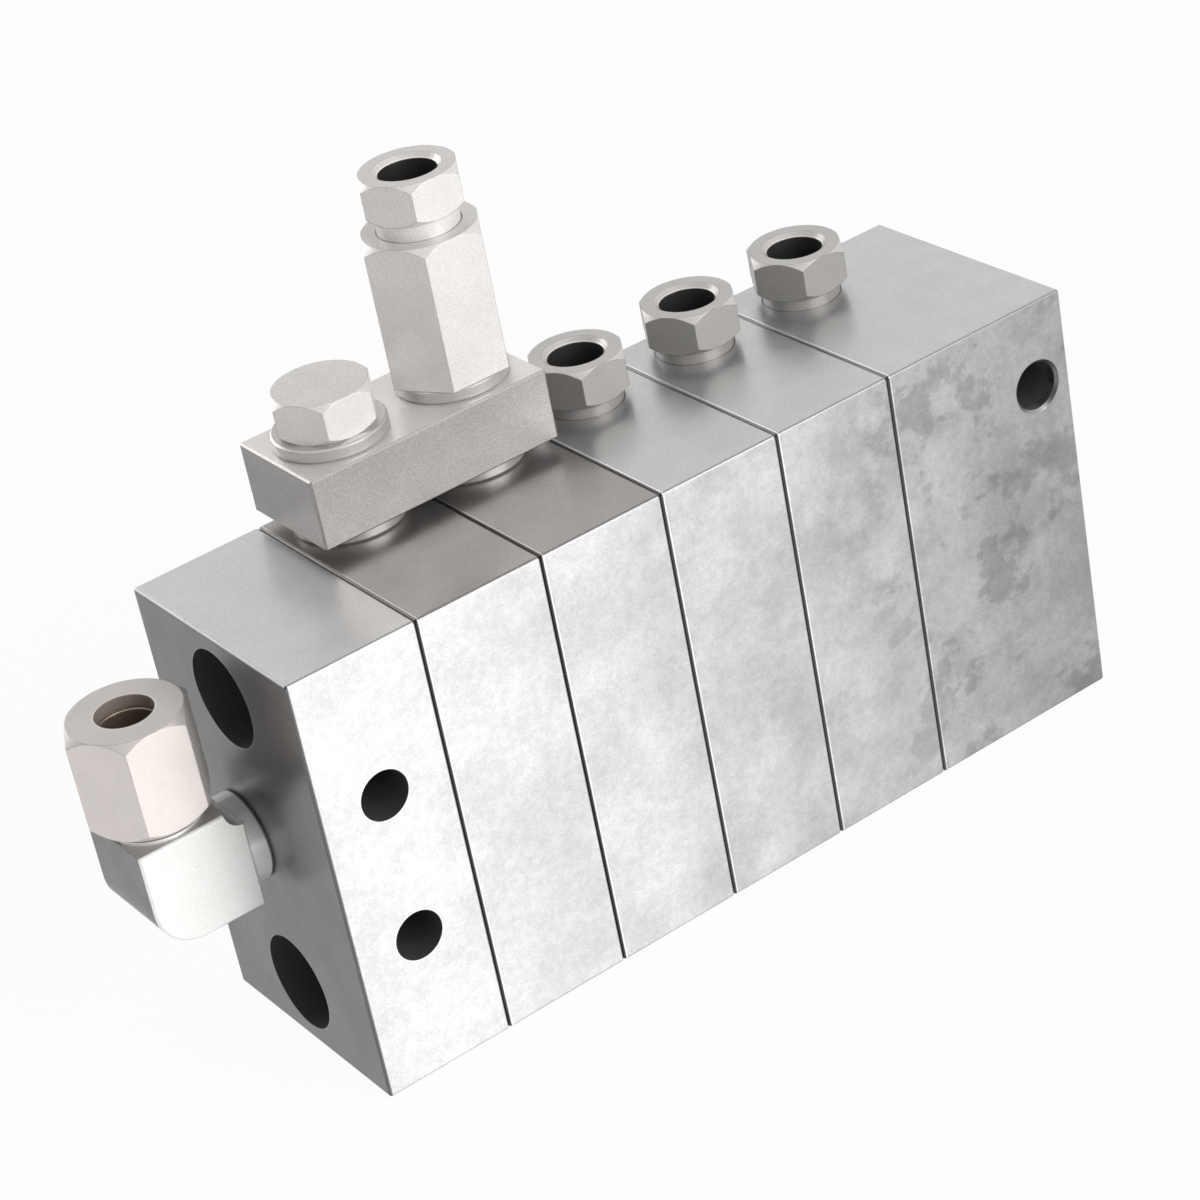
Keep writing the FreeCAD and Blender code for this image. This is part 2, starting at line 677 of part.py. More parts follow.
add_circle(plug_recess, "0", "bar_thickness / 2", "bar_plug_radius + thread_gap")
pocket(bar, plug_recess, "bar_plug_length + bar_plug_inset", forward=True)

bar_plug = new_body("bar_plug", (f"{row_start} + {plug_start}", outlet_y, f"{BAR_LEVEL} + bar_thickness / 2"))
disc = new_sketch(bar_plug, "YZ")
add_circle(disc, "0", "0", "bar_plug_radius")
pad(bar_plug, disc, "bar_plug_length")

for label, ring_x, level in (
        ("screw_ring_lower", row_start, "block_height"),
        ("screw_ring_upper", row_start, f"{BAR_LEVEL} + bar_thickness"),
        ("valve_ring_lower", valve_x, "block_height"),
        ("valve_ring_upper", valve_x, f"{BAR_LEVEL} + bar_thickness")):
    ring = new_body(label, (ring_x, outlet_y, level))
    hole = f"{THREAD_RADIUS} + ring_gap"
    turn(ring, [
        (hole, "0"), ("ring_radius - ring_edge", "0"), ("ring_radius", "ring_edge"),
        ("ring_radius", "ring_thickness - ring_edge"), ("ring_radius - ring_edge", "ring_thickness"),
        (hole, "ring_thickness"),
    ])


def turn_stem(body):
    """Turn the stem of a screw through the bar, down from under its head."""
    waist_top = f"screw_waist_height / 2 - {BAR_MIDDLE}"
    waist_foot = f"-screw_waist_height / 2 - {BAR_MIDDLE}"
    turn(body, [
        ("0", "0"), (THREAD_RADIUS, "0"), (THREAD_RADIUS, waist_top), ("screw_waist_radius", waist_top),
        ("screw_waist_radius", waist_foot), (THREAD_RADIUS, waist_foot),
        (THREAD_RADIUS, f"-{SCREW_REACH}"), ("0", f"-{SCREW_REACH}"),
    ])


def cross_drill(body, radius):
    """Drill a stem across at the level of the bar's own bore."""
    hole = new_sketch(body, "YZ", "-screw_waist_radius")
    add_circle(hole, "0", f"-{BAR_MIDDLE}", radius)
    pocket(body, hole, "2 * screw_waist_radius", forward=True)


closing = new_body("closure_screw", (row_start, outlet_y, HEAD_LEVEL))
closing_head = new_sketch(closing, "XY")
add_hexagon(closing_head, "union_flats")
pad(closing, closing_head, "screw_head_height")
top_cut, bottom_cut = corner_cuts("union_flats", "0", "screw_head_height")
bore(closing, top_cut, more=[bottom_cut])
turn_stem(closing)
bore(closing, [
    ("0", f"-{SCREW_REACH}"), ("screw_bore_radius", f"-{SCREW_REACH}"),
    ("screw_bore_radius", f"-{BAR_MIDDLE}"), ("0", f"drill_tip_height - {BAR_MIDDLE}"),
])
cross_drill(closing, "screw_cross_radius")

valve = new_body("valve_body", (valve_x, outlet_y, HEAD_LEVEL))
valve_head = new_sketch(valve, "XY")
add_hexagon(valve_head, "valve_flats")
pad(valve, valve_head, "valve_height")
bore(valve, corner_cuts("valve_flats", "0", "valve_height", both=False)[0])
turn_stem(valve)
seat_rim = "valve_chamber_radius - valve_bore_radius - valve_seat_drop"
bore(valve, [
    ("0", f"-{SCREW_REACH}"), ("valve_bore_radius", f"-{SCREW_REACH}"),
    ("valve_bore_radius", "-valve_seat_drop"), ("valve_chamber_radius", seat_rim),
    ("valve_chamber_radius", RETAINER_FOOT), ("retainer_radius + retainer_gap", RETAINER_FOOT),
    ("retainer_radius + retainer_gap", VALVE_STOP), ("tube_bore_radius", VALVE_STOP),
    ("tube_bore_radius", f"{VALVE_STOP} + tube_stop_depth"), ("port_radius", "valve_height - port_depth"),
    ("port_radius", "valve_height"), ("0", "valve_height"),
])
cross_drill(valve, "valve_cross_radius")

ball = doc.addObject("Part::Sphere", "valve_ball")
ball.setExpression("Radius", bound("ball_radius"))
place(ball, "valve_ball", (valve_x, outlet_y, f"{HEAD_LEVEL} + {BALL_LEVEL}"))

spring = new_body("valve_spring", (valve_x, outlet_y, f"{HEAD_LEVEL} + {SPRING_FOOT}"))
# The wire has six flats here, which keeps the coil's mesh small
wire = new_sketch(spring, "XZ")
add_hexagon(wire, "(sqrt(3) * spring_wire_radius)", "spring_radius")
coil = spring.newObject("PartDesign::AdditiveHelix", "valve_spring_coil")
coil.Profile = wire
coil.ReferenceAxis = (wire, ["V_Axis"])
coil.Mode = "height-turns-angle"
coil.setExpression("Height", bound(SPRING_HEIGHT))
coil.setExpression("Turns", bound("spring_turns"))

retainer = new_body("valve_spring_retainer", (valve_x, outlet_y, f"{HEAD_LEVEL} + {RETAINER_FOOT}"))
turn(retainer, [
    ("retainer_bore_radius", "0"), ("retainer_radius", "0"),
    ("retainer_radius", "retainer_thickness"), ("retainer_bore_radius", "retainer_thickness"),
])

valve_top = f"{HEAD_LEVEL} + valve_height"
add_union("valve_union", (valve_x, outlet_y, valve_top), "valve_neck_height")
add_sleeve("valve_sleeve", (valve_x, outlet_y, f"{valve_top} - {SLEEVE_FOOT}"))

# Inlet elbow, its own origin where its two bores cross
elbow_at = (f"{LEFT_END} - collar_length - elbow_front", f"{FRONT} + inlet_depth", MID_HEIGHT)
elbow = new_body("elbow_body", elbow_at)
side_view = new_sketch(elbow, "XZ", "-elbow_width / 2")
add_box(side_view, "-elbow_back", "elbow_front", "-elbow_back", "elbow_rise")
knee = pad(elbow, side_view, "elbow_width")
outer_edge = edges_of(knee, lambda middle: middle.x < 0 and middle.z < 0 and abs(middle.y) < value_of("thread_gap"))
knee_round = round_edges(elbow, knee, outer_edge, "elbow_back")
side_edges = edges_of(knee_round, lambda middle: (
    abs(abs(middle.y) - value_of("elbow_width / 2")) < value_of("thread_gap")))
bevel_edges(elbow, knee_round, side_edges, "elbow_edge")
notch = new_sketch(elbow, "XZ", "elbow_width / 2")
add_circle(notch, "elbow_front", "elbow_rise", "elbow_notch_radius")
pocket(elbow, notch, "elbow_width")
collar_end = "elbow_front + collar_length"
inlet_thread_end = f"{collar_end} + inlet_thread_reach"
turn(elbow, [
    ("0", "0"), ("0", "collar_radius"), (f"{collar_end} - collar_edge", "collar_radius"),
    (collar_end, "collar_radius - collar_edge"), (collar_end, THREAD_RADIUS),
    (inlet_thread_end, THREAD_RADIUS), (inlet_thread_end, "0"),
], axis="H_Axis")
turn(elbow, [("0", "0"), ("leg_radius", "0"), ("leg_radius", LEG_TOP), ("0", LEG_TOP)])
recess_radius = "(tube_bore_radius + sleeve_wall + sleeve_gap)"
bore(elbow, [
    ("0", "0"), ("elbow_bore_radius", "0"), ("elbow_bore_radius", "leg_stop_height"),
    ("tube_bore_radius", "leg_stop_height"), ("tube_bore_radius", LEG_SEAT),
    (recess_radius, f"{LEG_SEAT} + sleeve_wall + sleeve_gap"), (recess_radius, LEG_TOP), ("0", LEG_TOP),
])
bore(elbow, [
    ("0", "0"), (inlet_thread_end, "0"), (inlet_thread_end, "elbow_bore_radius"), ("0", "elbow_bore_radius"),
], axis="H_Axis")

nut = new_body("elbow_union_nut", elbow_at[:2] + (f"{MID_HEIGHT} + {NUT_FOOT}",))
nut_outline = new_sketch(nut, "XY")
add_hexagon(nut_outline, "nut_flats")
pad(nut, nut_outline, "nut_height")
top_cut, bottom_cut = corner_cuts("nut_flats", "0", "nut_height")
bore(nut, top_cut, more=[bottom_cut])
roof_foot = "nut_height - nut_roof"
bore(nut, [
    ("0", "0"), ("leg_radius + thread_gap", "0"), ("leg_radius + thread_gap", f"{roof_foot} - sleeve_wall"),
    ("tube_bore_radius + sleeve_wall", f"{roof_foot} - sleeve_wall"), ("tube_bore_radius", roof_foot),
    ("tube_bore_radius", "nut_height"), ("0", "nut_height"),
])

add_sleeve("elbow_sleeve", elbow_at[:2] + (f"{MID_HEIGHT} + {LEG_SLEEVE_FOOT}",))

# Nothing is written unless every feature worked and every cut removed something
doc.recompute()
for item in doc.Objects:
    if "Invalid" in item.State or "Error" in item.State:
        raise ValueError("%s failed: %s" % (item.Label, item.State))
for cut in cuts:
    if cut.Shape.Volume >= cut.BaseFeature.Shape.Volume:
        raise ValueError("%s cut nothing" % cut.Label)
for piece in pieces:
    if piece.Shape.isNull() or not piece.Shape.isValid():
        raise ValueError("%s has no valid shape" % piece.Label)
for piece in pieces:
    piece.Shape.exportStep("parts/%s.step" % piece.Label)
print("%d pieces" % len(pieces))
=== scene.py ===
"""Looks of the lubricant divider block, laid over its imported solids.

Lengths are metres in the row frame of the solids: +X along the row of slices away
from the inlet, +Y to the back face, +Z up, the origin in the middle of the bottom.
"""

import logging
import math
from dataclasses import dataclass, field, replace
from enum import Enum
from typing import ClassVar, Mapping, Optional, Sequence, Union

import bmesh
import bpy
from mathutils import Matrix, Vector

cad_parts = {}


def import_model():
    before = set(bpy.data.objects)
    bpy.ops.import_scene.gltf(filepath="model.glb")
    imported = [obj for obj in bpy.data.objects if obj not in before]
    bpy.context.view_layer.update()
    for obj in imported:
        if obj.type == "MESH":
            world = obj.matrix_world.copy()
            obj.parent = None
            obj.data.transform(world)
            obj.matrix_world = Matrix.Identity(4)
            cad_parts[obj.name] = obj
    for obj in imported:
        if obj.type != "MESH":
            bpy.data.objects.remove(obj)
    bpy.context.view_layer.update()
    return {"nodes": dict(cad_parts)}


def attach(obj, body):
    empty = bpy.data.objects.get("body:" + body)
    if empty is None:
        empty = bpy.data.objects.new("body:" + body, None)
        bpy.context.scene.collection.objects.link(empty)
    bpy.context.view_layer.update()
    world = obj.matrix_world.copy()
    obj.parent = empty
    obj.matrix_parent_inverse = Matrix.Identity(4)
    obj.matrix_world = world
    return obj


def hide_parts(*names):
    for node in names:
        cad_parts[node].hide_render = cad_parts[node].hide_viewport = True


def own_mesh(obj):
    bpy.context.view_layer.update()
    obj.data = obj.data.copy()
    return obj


LOG = logging.getLogger("divider_block")
MM = 0.001

Point = tuple[float, float, float]
Colour = tuple[float, float, float]
Limits = tuple[float, float]
Value = Union[float, Sequence[float], bpy.types.NodeSocket]

WHITE: Colour = (1.0, 1.0, 1.0)
# Where nearly all of a noise's value lies
NOISE_RANGE: Limits = (0.3, 0.7)
# Parts of a direction from which a face begins to count as such, and from which it is one
# UPWARD and ENDWARD pick the faces, and ROUNDED the edges, that carry painted light and shade
UPWARD: Limits = (0.15, 0.45)
ENDWARD: Limits = (0.92, 0.98)
FRONTWARD: Limits = (0.8, 0.95)
# The same for a rounded edge, by the product of the direction's two parts across it
ROUNDED: Limits = (0.08, 0.30)


class Ray(Enum):
    """Kinds of ray that see or mirror the surroundings, by what a shader calls them."""

    CAMERA = "Is Camera Ray"
    GLOSSY = "Is Glossy Ray"
    TRANSMISSION = "Is Transmission Ray"


class Axis(Enum):
    """Directions in which the bores run, with the two axes across each."""

    ALONG_ROW = ("Y", "Z", "X")
    FRONT_TO_BACK = ("X", "Z", "Y")
    UPRIGHT = ("X", "Y", "Z")


@dataclass
class Graph:
    """Adds nodes and links to one shader or geometry tree."""

    tree: bpy.types.NodeTree

    def feed(self, socket: bpy.types.NodeSocket, value: Value) -> None:
        """Link a socket to another, or give it a plain value.

        Args:
            socket: The input socket that takes the value.
            value: An output socket, a number, or the numbers of a vector or colour.
        """
        if isinstance(value, bpy.types.NodeSocket):
            self.tree.links.new(value, socket)
        elif socket.type == "RGBA":
            socket.default_value = (*value, 1.0)
        else:
            socket.default_value = value

    def add(
        self,
        kind: str,
        inputs: Optional[Mapping[Union[str, int], Value]] = None,
        **settings: object,
    ) -> bpy.types.Node:
        """Add one node.

        Args:
            kind: The node's type.
            inputs: Values or links by the name or the number of the input.
            settings: Properties of the node.

        Returns:
            The new node.
        """
        node = self.tree.nodes.new(kind)
        for name, setting in settings.items():
            setattr(node, name, setting)
        for name, value in (inputs or {}).items():
            self.feed(node.inputs[name], value)
        return node

    def math(self, operation: str, *values: Value) -> bpy.types.NodeSocket:
        """Give the result of a Math node.

        Args:
            operation: What the node works out.
            values: One to three numbers or links.

        Returns:
            The result.
        """
        node = self.add("ShaderNodeMath", dict(enumerate(values)), operation=operation)
        return node.outputs[0]

    def vector_math(self, operation: str, *values: Value) -> bpy.types.Node:
        """Add a Vector Math node."""
        return self.add("ShaderNodeVectorMath", dict(enumerate(values)), operation=operation)

    def split(self, vector: Value) -> dict[str, bpy.types.NodeSocket]:
        """Give the X, Y and Z of a vector by name."""
        node = self.add("ShaderNodeSeparateXYZ", {0: vector})
        return {letter: node.outputs[letter] for letter in "XYZ"}

    def span(
        self, value: Value, start: float, stop: float, low: Value = 0.0, high: Value = 1.0,
        straight: bool = False,
    ) -> bpy.types.NodeSocket:
        """Map a range of a value to another range, and hold it outside.

        Args:
            value: What is mapped.
            start: Where the range starts.
            stop: Where it ends, above the start.
            low: What the start gives.
            high: What the end gives.
            straight: Whether the way between the two is straight rather than soft.

        Returns:
            The mapped value.
        """
        node = self.add(
            "ShaderNodeMapRange",
            {"Value": value, "From Min": start, "From Max": stop, "To Min": low, "To Max": high},
            interpolation_type="LINEAR" if straight else "SMOOTHSTEP",
        )
        return node.outputs["Result"]

    def from_row(self, value: Value, first: Value, pitch: Value) -> bpy.types.NodeSocket:
        """Give how far a value lies from the nearest step of an endless row.

        Args:
            value: What is compared.
            first: One step of the row.
            pitch: From each step to the next.

        Returns:
            The distance, which is below 0 before the step.
        """
        half = self.math("MULTIPLY", pitch, 0.5)
        apart = self.math("SUBTRACT", value, first)
        return self.math("WRAP", apart, half, self.math("MULTIPLY", half, -1.0))

    def between(self, value: Value, start: Value, stop: Value) -> bpy.types.NodeSocket:
        """Give 1 where a value lies between two others, else 0."""
        after = self.math("GREATER_THAN", value, start)
        return self.math("MULTIPLY", after, self.math("LESS_THAN", value, stop))

    def noise(
        self, vector: Value, size: float, detail: float = 2.0, roughness: float = 0.5,
        distortion: float = 0.0,
    ) -> bpy.types.NodeSocket:
        """Give a cloudy value from 0 to 1.

        Args:
            vector: Where the value is read.
            size: Width of one cloud in metres.
            detail: How many finer layers are added.
            roughness: How strong the finer layers are.
            distortion: How far the clouds are stirred.

        Returns:
            The value.
        """
        node = self.add(
            "ShaderNodeTexNoise",
            {"Vector": vector, "Scale": 1.0 / size, "Detail": detail, "Roughness": roughness,
             "Distortion": distortion},
        )
        return node.outputs["Fac"]

    def mix(self, share: Value, first: Value, second: Value) -> bpy.types.NodeSocket:
        """Give a colour between two others.

        Args:
            share: From 0, the first colour, to 1, the second.
            first: A colour or a link.
            second: A colour or a link.

        Returns:
            The mixed colour.
        """
        node = self.add("ShaderNodeMix", data_type="RGBA")
        self.feed(node.inputs[0], share)
        self.feed(node.inputs[6], first)
        self.feed(node.inputs[7], second)
        return node.outputs[2]

    def blend(self, share: Value, first: Value, second: Value) -> bpy.types.Node:
        """Mix two shaders, from 0, the first, to 1, the second."""
        return self.add("ShaderNodeMixShader", {0: share, 1: first, 2: second})

    def shade(self, colour: Value, tone: Value) -> bpy.types.NodeSocket:
        """Multiply a colour by a tone.

        Args:
            colour: The colour.
            tone: What its parts are multiplied by.

        Returns:
            The new colour.
        """
        node = self.vector_math("SCALE", colour)
        self.feed(node.inputs["Scale"], tone)
        return node.outputs[0]


@dataclass
class Group:
    """A shader node group with named inputs and outputs, built once."""

    name: str
    inputs: Mapping[str, Union[float, Point]]
    outputs: Sequence[str]
    tree: Optional[bpy.types.NodeTree] = field(default=None, init=False)

    def open(self) -> tuple[Graph, bpy.types.Node, bpy.types.Node]:
        """Make the group's tree with its sockets.

        Returns:
            The tree's graph, the node with its inputs and the node with its outputs.
        """
        self.tree = bpy.data.node_groups.new(self.name, "ShaderNodeTree")
        for name, value in self.inputs.items():
            kind = "NodeSocketFloat" if isinstance(value, float) else "NodeSocketVector"
            socket = self.tree.interface.new_socket(name, in_out="INPUT", socket_type=kind)
            socket.default_value = value
        for name in self.outputs:
            kind = "NodeSocketVector" if name == "Normal" else "NodeSocketFloat"
            self.tree.interface.new_socket(name, in_out="OUTPUT", socket_type=kind)
        graph = Graph(self.tree)
        return graph, graph.add("NodeGroupInput"), graph.add("NodeGroupOutput")

    def place(self, graph: Graph, **inputs: Value) -> bpy.types.Node:
        """Place the group in a material.

        Args:
            graph: The material's graph.
            inputs: Values or links by input name, with underscores for spaces.

        Returns:
            The group's node.
        """
        named = {name.replace("_", " "): value for name, value in inputs.items()}
        return graph.add("ShaderNodeGroup", named, node_tree=self.tree)


# Effects that several finishes share


class SandGrain(Group):
    """Fine grain of a satin metal surface, with slow clouds under it."""

    GRAIN_SIZE: float = 0.11 * MM
    CLOUD_SIZE: float = 5.0 * MM

    def __init__(self) -> None:
        """Build the group."""
        super().__init__(
            "sand_grain",
            {"Vector": (0.0, 0.0, 0.0), "Grain": 0.04, "Clouds": 0.04},
            ["Tone", "Height"],
        )
        graph, given, result = self.open()
        take = given.outputs
        fine = graph.noise(take["Vector"], self.GRAIN_SIZE, detail=1.0, roughness=0.6)
        slow = graph.noise(take["Vector"], self.CLOUD_SIZE, detail=3.0, roughness=0.55)
        grain = graph.math("MULTIPLY", graph.span(fine, *NOISE_RANGE, -1.0, 1.0), take["Grain"])
        cloud = graph.math("MULTIPLY", graph.span(slow, *NOISE_RANGE, -1.0, 1.0), take["Clouds"])
        tone = graph.math("ADD", graph.math("ADD", grain, cloud), 1.0)
        graph.feed(result.inputs["Tone"], tone)
        graph.feed(result.inputs["Height"], fine)


class ZincClouds(Group):
    """Mottled clouds, darker islands and flecks of a hot-dipped zinc skin."""

    CLOUD_SIZE: float = 9.0 * MM
    ISLAND_SIZE: float = 7.5 * MM
    FLECK_SIZE: float = 0.9 * MM
    ISLAND_SHIFT: Point = (37.0 * MM, 11.0 * MM, 23.0 * MM)
    CLOUD_LIMITS: Limits = (0.32, 0.68)
    ISLAND_LIMITS: Limits = (0.53, 0.61)

    def __init__(self) -> None:
        """Build the group."""
        super().__init__("zinc_clouds", {"Vector": (0.0, 0.0, 0.0)}, ["Cloud", "Island", "Fleck"])
        graph, given, result = self.open()
        vector = given.outputs["Vector"]
        broad = graph.noise(vector, self.CLOUD_SIZE, detail=7.0, roughness=0.62)
        moved = graph.vector_math("ADD", vector, self.ISLAND_SHIFT).outputs[0]
        patch = graph.noise(moved, self.ISLAND_SIZE, detail=9.0, roughness=0.62)
        fleck = graph.noise(vector, self.FLECK_SIZE, detail=5.0, roughness=0.7)
        graph.feed(result.inputs["Cloud"], graph.span(broad, *self.CLOUD_LIMITS))
        graph.feed(result.inputs["Island"], graph.span(patch, *self.ISLAND_LIMITS))
        graph.feed(result.inputs["Fleck"], graph.span(fleck, *NOISE_RANGE))


class BoreMask(Group):
    """The inside and the rim of one bore, or of a row of like bores."""

    SLACK: float = 0.03 * MM

    def __init__(self) -> None:
        """Build the group."""
        super().__init__(
            "bore_mask",
            {"Across": 0.0, "Up": 0.0, "Centre Across": 0.0, "Centre Up": 0.0, "Pitch": 1.0,
             "Radius": 3.0 * MM, "Rim": 0.12 * MM},
            ["Inside", "Rim"],
        )
        graph, given, result = self.open()
        take = given.outputs
        across = graph.from_row(take["Across"], take["Centre Across"], take["Pitch"])
        up = graph.math("SUBTRACT", take["Up"], take["Centre Up"])
        square = graph.math("MULTIPLY", across, across)
        squares = graph.math("ADD", square, graph.math("MULTIPLY", up, up))
        beyond = graph.math("SUBTRACT", graph.math("SQRT", squares), take["Radius"])
        inside = graph.math("LESS_THAN", beyond, self.SLACK)
        near = graph.math("LESS_THAN", beyond, take["Rim"])
        graph.feed(result.inputs["Inside"], inside)
        graph.feed(result.inputs["Rim"], graph.math("SUBTRACT", near, inside))


class JointLine(Group):
    """The dark line of each joint between slices, and a painted highlight beside it."""

    BRIGHT_REACH: float = 1.7

    def __init__(self) -> None:
        """Build the group."""
        super().__init__(
            "joint_line",
            {"Along": 0.0, "First": 0.0, "Last": 0.0, "Pitch": 1.0, "Width": 0.2 * MM},
            ["Dark", "Bright"],
        )
        graph, given, result = self.open()
        take = given.outputs
        offset = graph.from_row(take["Along"], take["First"], take["Pitch"])
        half = graph.math("MULTIPLY", take["Pitch"], 0.5)
        start = graph.math("SUBTRACT", take["First"], half)
        stop = graph.math("ADD", take["Last"], half)
        among = graph.between(take["Along"], start, stop)
        dark = graph.math("LESS_THAN", graph.math("ABSOLUTE", offset), take["Width"])
        reach = graph.math("MULTIPLY", take["Width"], self.BRIGHT_REACH)
        bright = graph.between(offset, take["Width"], reach)
        graph.feed(result.inputs["Dark"], graph.math("MULTIPLY", dark, among))
        graph.feed(result.inputs["Bright"], graph.math("MULTIPLY", bright, among))


class SoftEdge(Group):
    """Rounded normals along sharp edges, and a mask of those edges."""

    SAMPLES: int = 6
    TURNED: Limits = (0.01, 0.12)

    def __init__(self) -> None:
        """Build the group."""
        super().__init__("soft_edge", {"Radius": 0.1 * MM}, ["Edge", "Normal"])
        graph, given, result = self.open()
        radius = given.outputs["Radius"]
        bevel = graph.add("ShaderNodeBevel", {"Radius": radius}, samples=self.SAMPLES)
        flat = graph.add("ShaderNodeNewGeometry").outputs["Normal"]
        facing = graph.vector_math("DOT_PRODUCT", bevel.outputs["Normal"], flat).outputs["Value"]
        turned = graph.math("SUBTRACT", 1.0, facing)
        graph.feed(result.inputs["Edge"], graph.span(turned, *self.TURNED))
        graph.feed(result.inputs["Normal"], bevel.outputs["Normal"])


@dataclass
class Effects:
    """The node groups that the finishes place, each built once."""

    grain: SandGrain = field(default_factory=SandGrain)
    clouds: ZincClouds = field(default_factory=ZincClouds)
    bore: BoreMask = field(default_factory=BoreMask)
    joint: JointLine = field(default_factory=JointLine)
    edge: SoftEdge = field(default_factory=SoftEdge)


@dataclass(frozen=True)
class BoreRow:
    """One round hole or leg, or a row along X, with painted shade inside and a painted rim
    highlight.
    """

    axis: Axis
    across: float
    up: float
    radius: float
    pitch: float = 1.0
    start: float = -1.0
    stop: float = 1.0
    rim: float = 0.12 * MM


# Finishes


@dataclass
class Surface:
    """One material's graph, with the places and the directions of its surface."""

    graph: Graph
    effects: Effects
    where: bpy.types.NodeSocket = field(init=False)
    place: Mapping[str, bpy.types.NodeSocket] = field(init=False)
    facing: Mapping[str, bpy.types.NodeSocket] = field(init=False)

    def __post_init__(self) -> None:
        """Read the object coordinates, and split them and the direction by axis."""
        read = self.graph.add("ShaderNodeTexCoord").outputs
        self.where = read["Object"]
        self.place = self.graph.split(self.where)
        self.facing = self.graph.split(read["Normal"])


@dataclass(frozen=True)
class Finish:
    """A finish with grain, soft edges, and painted light and shade on faces, edges and bores.

    The painted upright tone is painted light or shade on the upright faces against the
    upward ones, and the painted end shade is painted shade on the faces towards -X, the
    inlet's side. The painted round tones are painted shade, or painted light above 1, on
    rounded edges: the upright ones on the inlet's side, those along X, and those along Y on
    the inlet's side. Bores get painted shade inside and painted highlights on their rims.
    """

    name: str
    colour: Colour
    roughness: float = 0.36
    metallic: float = 0.45
    # Painted light or shade on the upright faces, against the upward ones
    painted_upright_tone: float = 1.0
    # Painted shade on the faces towards -X
    painted_end_shade: float = 1.0
    grain: float = 0.05
    clouds: float = 0.03
    bump: float = 0.12
    bump_height: float = 0.02 * MM
    edge_radius: float = 0.14 * MM
    # Painted shade along the soft edges, or a painted highlight where above 1
    painted_edge_tone: float = 0.34
    # Painted shade on rounded edges, or painted light where a tone is above 1
    painted_round_tones: tuple[float, float, float] = (1.0, 1.0, 1.0)
    bores: tuple[BoreRow, ...] = ()
    # Painted shade inside the bores
    painted_bore_shade: Colour = (0.036, 0.034, 0.032)
    # Painted highlight on the bores' rims
    painted_rim_highlight: float = 1.35
    drift_size: float = 4.0 * MM
    drift: Limits = (0.9, 1.1)

    def material(self, effects: Effects) -> bpy.types.Material:
        """Build the finish as a material.

        Args:
            effects: The shared node groups.

        Returns:
            The material.
        """
        material = bpy.data.materials.new(self.name)
        material.use_nodes = True
        graph = Graph(material.node_tree)
        surface = Surface(graph, effects)
        grain = effects.grain.place(
            graph, Vector=surface.where, Grain=self.grain, Clouds=self.clouds
        )
        edge = effects.edge.place(graph, Radius=self.edge_radius)
        colour = graph.shade(self.body_colour(surface), grain.outputs["Tone"])
        # Painted shade or painted highlight along the soft edges
        colour = graph.mix(edge.outputs["Edge"], colour, graph.shade(colour, self.painted_edge_tone))
        metallic = self.metal_share(surface)
        if self.bores:
            inside, rim = self.bore_shade_masks(surface)
            # Painted highlight on the rims, then painted shade inside the bores
            colour = graph.mix(rim, colour, graph.shade(colour, self.painted_rim_highlight))
            colour = graph.mix(inside, colour, self.painted_bore_shade)
            metallic = graph.span(inside, 0.0, 1.0, metallic, 0.0)
        bump = graph.add(
            "ShaderNodeBump",
            {"Strength": self.bump, "Distance": self.bump_height,
             "Height": grain.outputs["Height"], "Normal": edge.outputs["Normal"]},
        )
        looks = {
            "Base Color": graph.vector_math("MINIMUM", colour, WHITE).outputs[0],
            "Metallic": metallic,
            "Roughness": self.satin(surface),
            "Normal": bump.outputs["Normal"],
        }
        principled = material.node_tree.nodes["Principled BSDF"]
        for name, value in looks.items():
            graph.feed(principled.inputs[name], value)
        return material

    def body_colour(self, surface: Surface) -> Value:
        """Give the colour, with painted light and shade on upright faces, towards -X and on rounded
        edges.

        Args:
            surface: The material's surface.

        Returns:
            The colour.
        """
        graph = surface.graph
        # Painted light or shade on upright faces, painted shade towards -X and on rounded edges
        upward = graph.span(surface.facing["Z"], *UPWARD)
        tone = graph.math("ADD", self.painted_upright_tone, graph.math("MULTIPLY", upward, 1.0 - self.painted_upright_tone))
        endward = graph.span(graph.math("MULTIPLY", surface.facing["X"], -1.0), *ENDWARD)
        tone = graph.math("MULTIPLY", tone, graph.span(endward, 0.0, 1.0, 1.0, self.painted_end_shade))
        tone = graph.math("MULTIPLY", tone, self.painted_round_tone(surface))
        return graph.shade(self.colour, tone)

    def painted_round_tone(self, surface: Surface) -> Value:
        """Give the painted shade, or painted light, of a square piece's rounded edges.

        Args:
            surface: The material's surface.

        Returns:
            The tone, which is 1 on the faces.
        """
        graph, facing = surface.graph, surface.facing
        nearward = graph.math("MAXIMUM", graph.math("MULTIPLY", facing["X"], -1.0), 0.0)
        sides = {**facing, "X": nearward}
        tone: Value = 1.0
        for (first, second), edge in zip(("XY", "YZ", "XZ"), self.painted_round_tones):
            if edge != 1.0:
                product = graph.math("MULTIPLY", sides[first], sides[second])
                slant = graph.math("ABSOLUTE", product)
                tone = graph.math("MULTIPLY", tone, graph.span(slant, *ROUNDED, 1.0, edge))
        return tone

    def metal_share(self, surface: Surface) -> Value:
        """Give how far the surface is bare metal, here the same all over it."""
        return self.metallic

    def satin(self, surface: Surface) -> Value:
        """Give the roughness, which drifts a little over the surface.

        Args:
            surface: The material's surface.

        Returns:
            The roughness.
        """
        slow = surface.graph.noise(surface.where, self.drift_size)
        low, high = (self.roughness * share for share in self.drift)
        return surface.graph.span(slow, *NOISE_RANGE, low, high)

